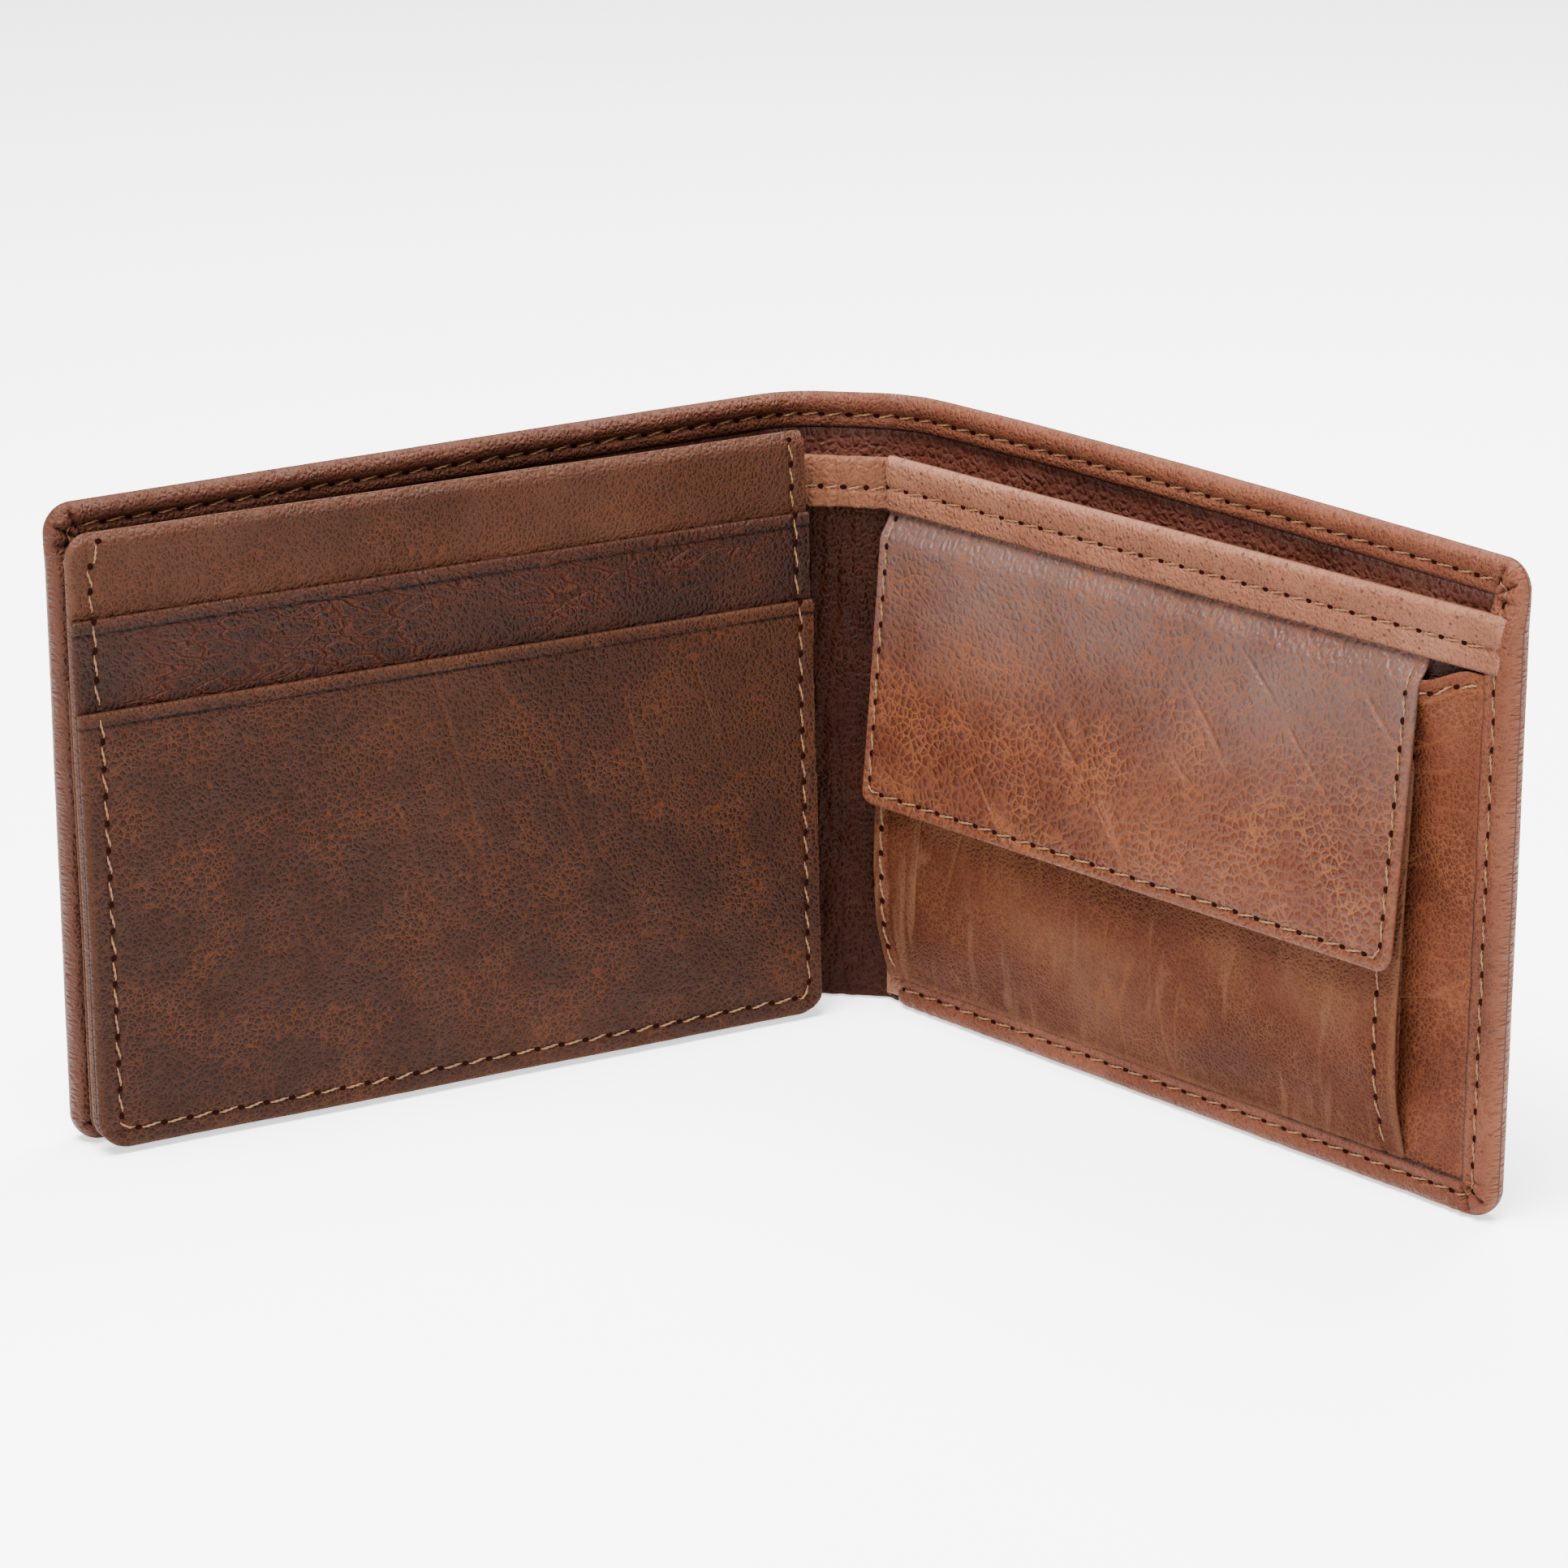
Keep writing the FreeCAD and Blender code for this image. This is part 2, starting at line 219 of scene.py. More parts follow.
class Sheet:
    """A panel with a rounded outline, a front and a back height, and soft edges."""

    def __init__(self, place, u_range, z_range, front, back, radii=(0.2, 0.2, 0.2, 0.2), edge=0.6, cut=False,
                 sign=1.0, shift=0.0):
        self.place = place
        self.sign = sign              # -1 on the left half, so that the hide runs on across the spine
        self.shift = shift
        self.u_range = u_range
        self.z_range = z_range
        self.front = front
        self.back = back
        self.radii = radii            # inner bottom, outer bottom, outer top, inner top
        self.edge = edge
        self.cut = cut                # the inner edge is cut at the middle of the spine

    def depth(self, u, z):
        """Distance inside the rounded outline."""
        low = self.u_range[0] - (60.0 if self.cut else 0.0)
        high = self.u_range[1]
        middle = (low + high) / 2.0
        outer = u > middle
        upper = z > (self.z_range[0] + self.z_range[1]) / 2.0
        r = np.where(upper, np.where(outer, self.radii[2], self.radii[3]),
                     np.where(outer, self.radii[1], self.radii[0]))
        qx = np.abs(u - middle) - (high - low) / 2.0 + r
        qz = np.abs(z - sum(self.z_range) / 2.0) - (self.z_range[1] - self.z_range[0]) / 2.0 + r
        outside = np.hypot(np.maximum(qx, 0.0), np.maximum(qz, 0.0))
        return r - outside - np.minimum(np.maximum(qx, qz), 0.0)

    def heights(self, u, z):
        d = np.maximum(self.depth(u, z), 0.0)
        front = self.front(u, z, d)
        back = self.back(u, z, d)
        t = np.clip(d / self.edge, 0.0, 1.0)
        swell = np.maximum(np.sqrt(np.maximum(1.0 - (1.0 - t) ** 2, 0.0)), 0.07)
        centre = (front + back) / 2.0
        half = (front - back) / 2.0 * swell
        return centre + half, centre - half, d

    def point(self, u, z, lift=0.0, rear=False):
        """World point on the front or rear face, lifted off it."""
        u = np.asarray(u, float)
        z = np.asarray(z, float)
        front, back, _ = self.heights(u, z)
        v = back - lift if rear else front + lift
        return self.place(u, v, z)

    def build(self, name, material, step=1.1, u_marks=(), z_marks=(), line=None):
        us = lines(self.u_range[0], self.u_range[1], step, u_marks)
        zs = lines(self.z_range[0], self.z_range[1], step, z_marks)
        u, z = np.meshgrid(us, zs)
        u = self.round_outline(u, z)
        front, back, d = self.heights(u, z)
        rows, columns = u.shape
        total = rows * columns
        faces_of = [self.place(u, v, z).reshape(-1, 3) for v in (front, back)]
        points = np.concatenate(faces_of)
        index = np.arange(total).reshape(rows, columns)
        corners = [index[:-1, :-1], index[:-1, 1:], index[1:, 1:], index[1:, :-1]]
        quad = np.stack(corners, axis=-1).reshape(-1, 4)
        ring = np.concatenate([index[0, :], index[1:, -1], index[-1, -2::-1], index[-2:0:-1, 0]])
        after = np.roll(ring, -1)
        wall = np.stack([ring, ring + total, after + total, after], axis=-1)
        faces = np.concatenate([quad, quad[:, ::-1] + total, wall])
        flat = np.stack([(u + self.shift) * self.sign, z], axis=-1).reshape(-1, 2)
        flat = np.concatenate([flat, flat + np.array([REAR_SHIFT, 0.0])]) / FLAT_UNIT
        extra = {"edge": np.concatenate([d.ravel()] * 2)}
        # the line attribute: dark raw edges and pressed lines, plus painted shade in fold bottoms and gaps
        mark = np.zeros_like(u) if line is None else line(u, z, d)
        extra["line"] = np.concatenate([mark.ravel(), np.zeros(total)])
        return mesh_piece(name, points, faces, material, flat, extra)

    def round_outline(self, u, z):
        """Pull the columns near an end inwards so that the outline follows the corner radii."""
        bottom = z - self.z_range[0]
        top = self.z_range[1] - z
        inset_outer = np.maximum(corner_inset(bottom, self.radii[1]), corner_inset(top, self.radii[2]))
        inset_inner = np.maximum(corner_inset(bottom, self.radii[0]), corner_inset(top, self.radii[3]))
        if self.cut:
            inset_inner = np.zeros_like(u)
        reach = 14.0
        near_outer = np.clip(1.0 - (self.u_range[1] - u) / reach, 0.0, 1.0)
        near_inner = np.clip(1.0 - (u - self.u_range[0]) / reach, 0.0, 1.0)
        return u - inset_outer * near_outer + inset_inner * near_inner


def corner_inset(distance, radius):
    rest = np.clip(radius - distance, 0.0, radius)
    return radius - np.sqrt(np.maximum(radius ** 2 - rest ** 2, 0.0))


def mesh_piece(name, points, faces, material, flat=None, extra=None):
    """Mesh object from millimetre points; normals are made to face outwards."""
    mesh = bpy.data.meshes.new(name)
    links = faces.tolist() if isinstance(faces, np.ndarray) else faces
    mesh.from_pydata((np.asarray(points) / MM).tolist(), [], links)
    mesh.update()
    if flat is not None:
        corners = np.zeros(len(mesh.loops), np.int32)
        mesh.loops.foreach_get("vertex_index", corners)
        layer = mesh.uv_layers.new(name="flat")
        layer.data.foreach_set("uv", flat[corners].ravel().astype(np.float32))
    for key, values in (extra or {}).items():
        attribute = mesh.attributes.new(key, "FLOAT", "POINT")
        attribute.data.foreach_set("value", np.asarray(values, np.float32))
    if signed_volume(mesh) < 0.0:
        mesh.flip_normals()
    mesh.shade_smooth()
    piece = bpy.data.objects.new(name, mesh)
    bpy.context.scene.collection.objects.link(piece)
    piece.data.materials.append(material)
    return piece


def signed_volume(mesh):
    mesh.calc_loop_triangles()
    co = np.zeros(len(mesh.vertices) * 3, np.float32)
    mesh.vertices.foreach_get("co", co)
    co = co.reshape(-1, 3)
    triangles = np.zeros(len(mesh.loop_triangles) * 3, np.int32)
    mesh.loop_triangles.foreach_get("vertices", triangles)
    a, b, c = (co[triangles.reshape(-1, 3)[:, i]] for i in range(3))
    return float(np.einsum("ij,ij->i", a, np.cross(b, c)).sum())


# ---- seams
def thread_tube(path, across, up):
    """Two plies of thread twisted round each other along a short path."""
    count = len(path)
    ring = 6
    plies = 2
    turns = 1.6
    t = np.linspace(0.0, 1.0, count)
    points = []
    faces = []
    for ply in range(plies):
        angle = 2.0 * math.pi * (ply / plies + turns * t)
        offset = across * np.cos(angle)[:, None] + up * np.sin(angle)[:, None]
        middle = path + offset * THREAD * 0.5
        size = THREAD * 0.62 * (0.75 + 0.25 * np.sin(math.pi * t))
        start = ply * count * ring
        for k in range(ring):
            spin = 2.0 * math.pi * k / ring
            points.append(middle + (across * math.cos(spin) + up * math.sin(spin)) * size[:, None])
        grid = start + np.arange(ring * count).reshape(ring, count)
        around = np.roll(grid, -1, axis=0)
        quads = np.stack([grid[:, :-1], around[:, :-1], around[:, 1:], grid[:, 1:]], axis=-1)
        faces += quads.reshape(-1, 4).tolist()
        faces.append(grid[:, 0].tolist())
        faces.append(grid[::-1, -1].tolist())
    return np.concatenate([p.reshape(-1, 3) for p in points]), faces


def needle_hole(centre, along, across, up):
    """A small dimple where the thread dives into the leather, darkened with painted shade by its material."""
    points = [centre + up * 0.15]
    faces = []
    ring = 8
    radius = 0.5
    for level, (size, height) in enumerate(((0.75, 0.14), (1.0, 0.06), (0.8, -0.25))):
        for k in range(ring):
            spin = 2.0 * math.pi * k / ring
            out = along * math.cos(spin) + across * math.sin(spin)
            points.append(centre + out * radius * size + up * height)
    for k in range(ring):
        after = (k + 1) % ring
        faces.append([0, 1 + k, 1 + after])
        for level in range(2):
            base = 1 + level * ring
            faces.append([base + k, base + ring + k, base + ring + after, base + after])
    faces.append([1 + 2 * ring + k for k in range(ring)][::-1])
    return np.array(points), faces


def seam(name, sheet, path, rear=False):
    """Stitches along a list of (u, z) points on a sheet, with a needle hole between each two."""
    path = np.asarray(path, float)
    steps = np.linalg.norm(np.diff(path, axis=0), axis=1)
    where = np.concatenate([[0.0], np.cumsum(steps)])
    count = max(int(round(where[-1] / PITCH)), 1)
    pitch = where[-1] / count
    points = []
    faces = []
    kinds = []
    size = 0

    def at(distance, lift):
        u = np.interp(distance, where, path[:, 0])
        z = np.interp(distance, where, path[:, 1])
        return sheet.point(u, z, lift, rear)

    for number in range(count):
        ends = np.array([number * pitch + NEEDLE, (number + 1) * pitch - NEEDLE])
        t = np.linspace(0.0, 1.0, 9)
        distance = ends[0] + (ends[1] - ends[0]) * t
        lift = THREAD * (1.25 * np.sin(math.pi * t) ** 0.5 - 0.55)
        run = at(distance, lift)
        along = run[-1] - run[0]
        along = along / np.linalg.norm(along)
        up = at(np.array([distance[4]]), 1.0)[0] - at(np.array([distance[4]]), 0.0)[0]
        up = up / np.linalg.norm(up)
        across = np.cross(up, along)
        tilt = SLANT * RANDOM.uniform(0.6, 1.4)
        run = run + across * ((t - 0.5) * 2.0 * tilt)[:, None]
        stitch = thread_tube(run, across, up)
        hole = needle_hole(at(np.array([number * pitch]), 0.0)[0], along, across, up)
        for kind, (some, links) in enumerate((stitch, hole)):
            points.append(some)
            faces += [[corner + size for corner in link] for link in links]
            kinds += [kind] * len(links)
            size += len(some)
    piece = mesh_piece(name, np.concatenate(points), faces, MATERIALS["thread"])
    piece.data.materials.append(MATERIALS["hole"])
    piece.data.polygons.foreach_set("material_index", np.array(kinds, np.int32))
    return piece


# ---- materials
class Shader:
    """Short calls for a node material; an input may be a socket or a number."""

    def __init__(self, name):
        self.material = bpy.data.materials.new(name)
        self.material.use_nodes = True
        self.tree = self.material.node_tree
        self.principled = self.tree.nodes["Principled BSDF"]

    def add(self, kind, settings=None, **inputs):
        node = self.tree.nodes.new(kind)
        for key, value in (settings or {}).items():
            setattr(node, key, value)
        for key, value in inputs.items():
            self.set(node, key.replace("_", " "), value)
        return node

    def set(self, node, key, value):
        socket = node.inputs[int(key)] if key.isdigit() else node.inputs[key]
        if isinstance(value, bpy.types.NodeSocket):
            self.tree.links.new(value, socket)
        else:
            socket.default_value = value

    def math(self, operation, a, b=0.0):
        node = self.add("ShaderNodeMath", {"operation": operation})
        self.set(node, "0", a)
        self.set(node, "1", b)
        return node.outputs[0]

    def band(self, value, low, high, start=0.0, end=1.0):
        """Smooth step of a value between low and high, running from start to end."""
        node = self.add("ShaderNodeMapRange", {"interpolation_type": "SMOOTHSTEP"})
        inputs = {"Value": value, "From Min": low, "From Max": high, "To Min": start, "To Max": end}
        for key, item in inputs.items():
            self.set(node, key, item)
        return node.outputs["Result"]

    def mix(self, factor, a, b):
        node = self.add("ShaderNodeMix", {"data_type": "RGBA"})
        self.set(node, "0", factor)
        self.set(node, "6", a)
        self.set(node, "7", b)
        return node.outputs[2]

    def noise(self, vector, size, detail, rough):
        node = self.add("ShaderNodeTexNoise", Vector=vector, Scale=1.0 / size, Detail=detail, Roughness=rough)
        return node.outputs["Fac"]

    def cells(self, vector, size, feature="F1"):
        node = self.add("ShaderNodeTexVoronoi", {"feature": feature}, Vector=vector, Scale=1.0 / size)
        return node.outputs["Distance"]

    def millimetres(self, seed, stretch=(1.0, 1.0), turn=0.0):
        """Leather coordinates in millimetres, from the flat pattern of the piece."""
        flat = self.add("ShaderNodeUVMap", {"uv_map": "flat"}).outputs["UV"]
        turned = self.add("ShaderNodeMapping", Vector=flat)
        turned.inputs["Scale"].default_value = (FLAT_UNIT, FLAT_UNIT, 1.0)
        turned.inputs["Rotation"].default_value = (0.0, 0.0, turn)
        node = self.add("ShaderNodeMapping", Vector=turned.outputs["Vector"])
        node.inputs["Scale"].default_value = (stretch[0], stretch[1], 1.0)
        node.inputs["Location"].default_value = (seed * 37.0, seed * 91.0, seed * 5.3)
        return node.outputs["Vector"]

    def flat_axis(self, axis):
        """Bare X (along the hide) or Y (height) of the flat pattern, in its own units."""
        split = self.add("ShaderNodeSeparateXYZ")
        self.set(split, "0", self.add("ShaderNodeUVMap", {"uv_map": "flat"}).outputs["UV"])
        return split.outputs[axis]

    def attribute(self, name):
        return self.add("ShaderNodeAttribute", {"attribute_name": name}).outputs["Fac"]

    def warped(self, vector, size, amount):
        """The vector pushed about by coloured noise."""
        noise = self.add("ShaderNodeTexNoise", Vector=vector, Scale=1.0 / size, Detail=2.0).outputs["Color"]
        centred = self.add("ShaderNodeVectorMath", {"operation": "SUBTRACT"})
        self.set(centred, "0", noise)
        self.set(centred, "1", (0.5, 0.5, 0.5))
        scaled = self.add("ShaderNodeVectorMath", {"operation": "SCALE"})
        self.set(scaled, "0", centred.outputs[0])
        self.set(scaled, "Scale", amount)
        total = self.add("ShaderNodeVectorMath", {"operation": "ADD"})
        self.set(total, "0", vector)
        self.set(total, "1", scaled.outputs[0])
        return total.outputs[0]


def rgb(text):
    """Linear colour from a hexadecimal one."""
    values = [int(text[i:i + 2], 16) / 255.0 for i in (0, 2, 4)]
    linear = [v / 12.92 if v < 0.04045 else ((v + 0.055) / 1.055) ** 2.4 for v in values]
    return tuple([gain * v ** DEPTH for gain, v in zip(DYE, linear)] + [1.0])


def pebbles(s, flat, grain):
    """Valleys between the pebbles of the grain, and the height of the whole surface."""
    bent = s.warped(flat, 3.0, 0.5)
    valley = s.cells(bent, grain, "DISTANCE_TO_EDGE")
    small = s.cells(bent, grain * 0.5, "DISTANCE_TO_EDGE")
    groove = s.band(valley, 0.0, 0.15, 1.0, 0.0)
    fine = s.band(small, 0.0, 0.15, 1.0, 0.0)
    where = s.band(s.noise(flat, 9.0, 3.0, 0.6), 0.38, 0.68)
    spot = s.math("MULTIPLY", s.math("MAXIMUM", groove, s.math("MULTIPLY", fine, 0.45)),
                  s.math("ADD", s.math("MULTIPLY", where, 0.55), 0.35))
    height = s.math("ADD", s.band(valley, 0.0, 0.42), s.band(small, 0.0, 0.42, 0.0, 0.3))
    height = s.math("ADD", height, s.math("MULTIPLY", s.noise(flat, 0.4, 2.0, 0.5), 0.15))
    height = s.math("ADD", height, s.math("MULTIPLY", s.noise(flat, 3.2, 2.0, 0.5), 1.2))
    return spot, height


def cracked(s, flat, seed, amount, fleck, colour, height):
    """Long dark cracks in the wax, with pale lips."""
    long = s.warped(s.millimetres(seed + 3, (0.32, 1.0)), 3.0, 2.2)
    split = s.cells(long, 2.0, "DISTANCE_TO_EDGE")
    place = s.band(s.noise(flat, 16.0, 2.0, 0.5), 0.4, 0.56, 0.0, amount)
    lips = s.math("MULTIPLY", s.band(split, 0.05, 0.16, 0.4, 0.0), place)
    crack = s.math("MULTIPLY", s.band(split, 0.02, 0.06, 1.0, 0.0), place)
    colour = s.mix(lips, colour, fleck)
    colour = s.mix(s.math("MULTIPLY", crack, 0.8), colour, rgb("1c0f0c"))
    return colour, s.math("SUBTRACT", height, s.math("MULTIPLY", crack, 1.6))


def creased(s, flat, seed, creases, fleck, colour, height):
    """Straight pale creases, all in one direction: (turn in degrees, spacing, amount)."""
    turn, size, amount = creases
    along = s.warped(s.millimetres(seed + 5, (1.0, 0.13), math.radians(turn)), 9.0, 3.0)
    crease = s.band(s.cells(along, size, "DISTANCE_TO_EDGE"), 0.0, 0.045, 1.0, 0.0)
    place = s.band(s.noise(flat, 26.0, 2.0, 0.5), 0.5, 0.6)
    crease = s.math("MULTIPLY", s.math("MULTIPLY", crease, place), amount)
    colour = s.mix(s.math("MULTIPLY", crease, 0.45), colour, fleck)
    return colour, s.math("SUBTRACT", height, s.math("MULTIPLY", crease, 3.0))


def porous(s, flat, amount, dark, colour, height):
    """Fine dark pores."""
    pore = s.band(s.cells(s.warped(flat, 3.0, 0.6), 1.35), 0.1, 0.2, 1.0, 0.0)
    colour = s.mix(s.math("MULTIPLY", pore, amount), colour, dark)
    return colour, s.math("SUBTRACT", height, s.math("MULTIPLY", pore, 1.6 * amount))


def veined(s, seed, amount, light, colour):
    """Pale veins that run up the hide."""
    upright = s.warped(s.millimetres(seed + 7, (1.0, 0.16), 0.12), 5.0, 3.0)
    vein = s.band(s.noise(upright, 3.2, 4.0, 0.6), 0.52, 0.7)
    return s.mix(s.math("MULTIPLY", vein, amount), colour, light)


def painted_top_sheen(s, spot, wide, amount, colour):
    """Painted sheen: a greyish painted reflection on the tops of the pebbles, strongest near the top of the
    piece.
    """
    top = s.math("MULTIPLY", s.math("SUBTRACT", 1.0, spot), s.band(wide, 0.3, 0.62, 0.35, 1.0))
    top = s.math("MULTIPLY", top, s.band(s.flat_axis("Y"), 0.46, 0.72, 0.05, 1.0))
    return s.mix(s.math("MULTIPLY", top, amount), colour, rgb("9c8680"))


def leather(name, hues, seed, grain=0.9, depth=0.8, flecks=0.4, cracks=0.0, sheen=0.0,
            pores=0.0, veins=0.0, rough=0.5, patch=24.0, blotch=0.3, left_inside_darkening=0.0, creases=None, upper=None,
            gloss=0.06):
    """Waxed leather in dark, base, light and fleck hues: mottling, pebble grain, worn edges, drawn lines with
    some painted shade, and an optional painted sheen.
    """
    dark, base, light, fleck = [rgb(hue) for hue in hues.split()]
    s = Shader(name)
    flat = s.millimetres(seed)
    wide = s.noise(s.warped(flat, 30.0, 8.0), patch, 3.0, 0.5)
    local = s.noise(flat, 4.5, 4.0, 0.6)
    colour = s.mix(s.band(wide, 0.34, 0.52, blotch, 0.0), base, dark)
    colour = s.mix(s.band(wide, 0.48, 0.68, 0.0, blotch), colour, light)
    colour = s.mix(s.band(local, 0.35, 0.75, 0.0, 0.35), colour, dark)
    spot, height = pebbles(s, flat, grain)
    colour = s.mix(s.math("MULTIPLY", spot, flecks), colour, fleck)
    if cracks:
        colour, height = cracked(s, flat, seed, cracks, fleck, colour, height)
    if creases:
        colour, height = creased(s, flat, seed, creases, fleck, colour, height)
    if veins:
        colour = veined(s, seed, veins, light, colour)
    if pores:
        colour, height = porous(s, flat, pores, dark, colour, height)
    ragged = s.math("ADD", s.attribute("edge"), s.math("MULTIPLY", s.math("SUBTRACT", local, 0.5), 1.2))
    colour = s.mix(s.band(ragged, 0.1, 1.5, 0.5, 0.0), colour, light)
    # dark raw edges and pressed lines from the line attribute, with painted shade where it marks fold bottoms
    # and gaps
    colour = s.mix(s.math("MULTIPLY", s.attribute("line"), 0.85), colour, rgb("241b20"))
    if upper:
        level, upper_hue = upper
        colour = s.mix(s.band(s.flat_axis("Y"), level - 0.003, level + 0.003), colour, rgb(upper_hue))
    # inside faces darken towards the outer end of the left half
    if left_inside_darkening:
        colour = s.mix(s.band(s.flat_axis("X"), -0.6, 0.35, left_inside_darkening, 0.0), colour, rgb("2e1c15"))
    # painted sheen: a greyish painted reflection on the pebble tops (used on the flap)
    if sheen:
        colour = painted_top_sheen(s, spot, wide, sheen, colour)
    bump = s.add("ShaderNodeBump", Strength=depth, Distance=0.00022, Height=height)
    roughness = s.band(s.noise(flat, 6.0, 3.0, 0.6), 0.3, 0.7, rough - 0.08, rough + 0.1)
    s.set(s.principled, "Base Color", colour)
    s.set(s.principled, "Roughness", roughness)
    s.set(s.principled, "Normal", bump.outputs["Normal"])
    s.principled.inputs["Specular IOR Level"].default_value = gloss
    return s.material


def thread_material():
    """Twisted golden-tan thread, mottled paler and darker by fine noise."""
    s = Shader("thread")
    place = s.add("ShaderNodeTexCoord").outputs["Object"]
    fibre = s.noise(place, 0.0004, 3.0, 0.6)
    s.set(s.principled, "Base Color", s.mix(s.band(fibre, 0.3, 0.7), rgb("9c6236"), rgb("d09252")))
    s.set(s.principled, "Roughness", s.band(fibre, 0.3, 0.7, 0.55, 0.8))
    bump = s.add("ShaderNodeBump", Strength=0.5, Distance=0.0001, Height=fibre)
    s.set(s.principled, "Normal", bump.outputs["Normal"])
    return s.material


def hole_material():
    """Painted shade inside the needle holes: near-black browns."""
    s = Shader("needle_hole")
    place = s.add("ShaderNodeTexCoord").outputs["Object"]
    # painted shade, mottled by noise
    hole_shade_noise = s.noise(place, 0.0006, 2.0, 0.5)
    s.set(s.principled, "Base Color", s.mix(hole_shade_noise, rgb("2a0f08"), rgb("4a2213")))
    s.principled.inputs["Roughness"].default_value = 0.9
    s.principled.inputs["Specular IOR Level"].default_value = 0.02
    return s.material


def metal_material():
    """Brushed old brass for the hidden snap."""
    s = Shader("snap_metal")
    place = s.add("ShaderNodeTexCoord").outputs["Object"]
    brushed = s.noise(place, 0.0009, 5.0, 0.7)
    s.set(s.principled, "Base Color", s.mix(brushed, rgb("8a6f3c"), rgb("d2b47a")))
    s.set(s.principled, "Roughness", s.band(brushed, 0.3, 0.7, 0.22, 0.42))
    s.principled.inputs["Metallic"].default_value = 1.0
    return s.material


MATERIALS = {
    "thread": thread_material(),
    "hole": hole_material(),
    "metal": metal_material(),
    "cover": leather("cover", "764230 98563f b97457 bd7c4e", 2,
                     grain=0.8, flecks=0.35, pores=0.6, depth=0.9, blotch=0.45, left_inside_darkening=0.5, gloss=0.08),
    "band": leather("band", "965b44 bd7a5f db9b7f cf9060", 3,
                    grain=0.85, flecks=0.3, pores=0.9, depth=1.0, blotch=0.35, gloss=0.1),
    "lining": leather("lining", "70392c 995344 b87662 c88c6c", 4,
                      grain=1.35, flecks=0.5, depth=0.8, rough=0.42, blotch=0.35, gloss=0.2),
    "strip": leather("strip", "2c120a 482011 602d1a 804424", 5,
                     grain=1.0, flecks=0.45, depth=0.9, blotch=0.4, upper=(0.765, "ac7054"), gloss=0.06),
    "leaf_top": leather("leaf_top", "4a2a21 734937 986852 a86238", 6,
                        grain=0.8, flecks=0.4, depth=0.8, patch=34.0, blotch=0.5, gloss=0.06),
    "leaf_upper": leather("leaf_upper", "2c1810 482d24 724432 a05028", 7,
                          grain=0.9, flecks=0.3, depth=0.8, cracks=0.8, patch=20.0, blotch=0.2, gloss=0.08),
    "leaf_lower": leather("leaf_lower", "341e18 4e2f25 7c4f37 ac6236", 8,
                          grain=0.85, flecks=0.45, depth=0.8, patch=52.0, blotch=0.28,
                          creases=(-17.0, 13.0, 0.2), gloss=0.06),
    "inner": leather("inner", "4a2a1e 6a3e28 8a5840 a8642f", 9,
                     grain=0.9, flecks=0.4, depth=0.8, blotch=0.3, gloss=0.06),
    "flap": leather("flap", "562a1d 7c402b a36347 c67c52", 10,
                    grain=1.3, flecks=0.75, depth=0.75, sheen=0.52, patch=30.0, blotch=0.45, rough=0.44,
                    creases=(-45.0, 15.0, 0.8), gloss=0.1),
    "coin": leather("coin", "5b2f25 7f4735 a47156 ba7b50", 12,
                    grain=0.75, flecks=0.45, depth=0.7, veins=0.6, blotch=0.45, creases=(6.0, 9.0, 0.5),
                    gloss=0.02),
    "slip": leather("slip", "5e2d1e 864731 a8674c c67e54", 13,
                    grain=0.8, flecks=0.55, depth=0.8, patch=12.0, blotch=0.5, creases=(70.0, 7.0, 0.7),
                    gloss=0.05),
}


# ---- shared shapes
def plate(front, back):
    """Front and back height functions of a flat layer."""
    return (lambda u, z, d: front + 0.0 * d), (lambda u, z, d: back + 0.0 * d)


def border(sheet, inset, start, finish):
    """Path along the top, round the outer end and back along the bottom, inset from the outline."""
    u_end = sheet.u_range[1] - inset
    z_low, z_high = sheet.z_range[0] + inset, sheet.z_range[1] - inset
    path = [(start, z_high)]
    for centre_z, first, r in ((z_high, 90.0, sheet.radii[2]), (z_low, 0.0, sheet.radii[1])):
        r = max(r - inset, 0.4)
        sign = 1.0 if first else -1.0
        for step in range(7):
            angle = math.radians(first - 15.0 * step)
            path.append((u_end - r + r * math.cos(angle), centre_z - sign * r + r * math.sin(angle)))
    path.append((finish, z_low))
    return path


def ride_half(piece, side, slot, *nodes):
    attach(piece, side + "_half")
    if nodes:
        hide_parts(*nodes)


def blend_fold(piece, side, slot, reach, *nodes):
    """Bake the piece's transform into its mesh and hide the CAD nodes it replaces."""
    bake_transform(piece)
    if nodes:
        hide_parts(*nodes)


# ---- cover with its turned hems
def cover_front(u, z, d):
    """Depth of the inside face: thick on the hem, thin under the lining."""
    deep = COVER_END + LIP
    level = deep - (deep - 2.7) * smooth(82.0, 87.5, z)
    level = level - 2.3 * (1.0 - smooth(9.5, 13.5, u)) * (1.0 - smooth(40.0, 50.0, z))
    on = 1.0 - smooth(HEM - 0.05, HEM + 0.12, d)
    roll = 0.3 * bell(d, 1.7, 1.0) - 0.34 * bell(d, SEAM, 0.42) + 0.12 * bell(d, SEAM + 1.0, 0.5)
    pleat = corner_pleats(u, z)
    spine = 1.0 - smooth(14.0, 30.0, u)
    crease = (0.10 + 0.16 * spine) * ripple(u, z, 1, 2.0, 5.0) * bell(d, 1.8, 2.4)
    edge = -0.25 * bell(d, HEM, 0.22)
    return 1.1 + on * (level - 1.1 + roll + crease + edge + pleat) + 0.1 * on * ripple(u, z, 2, 9.0)


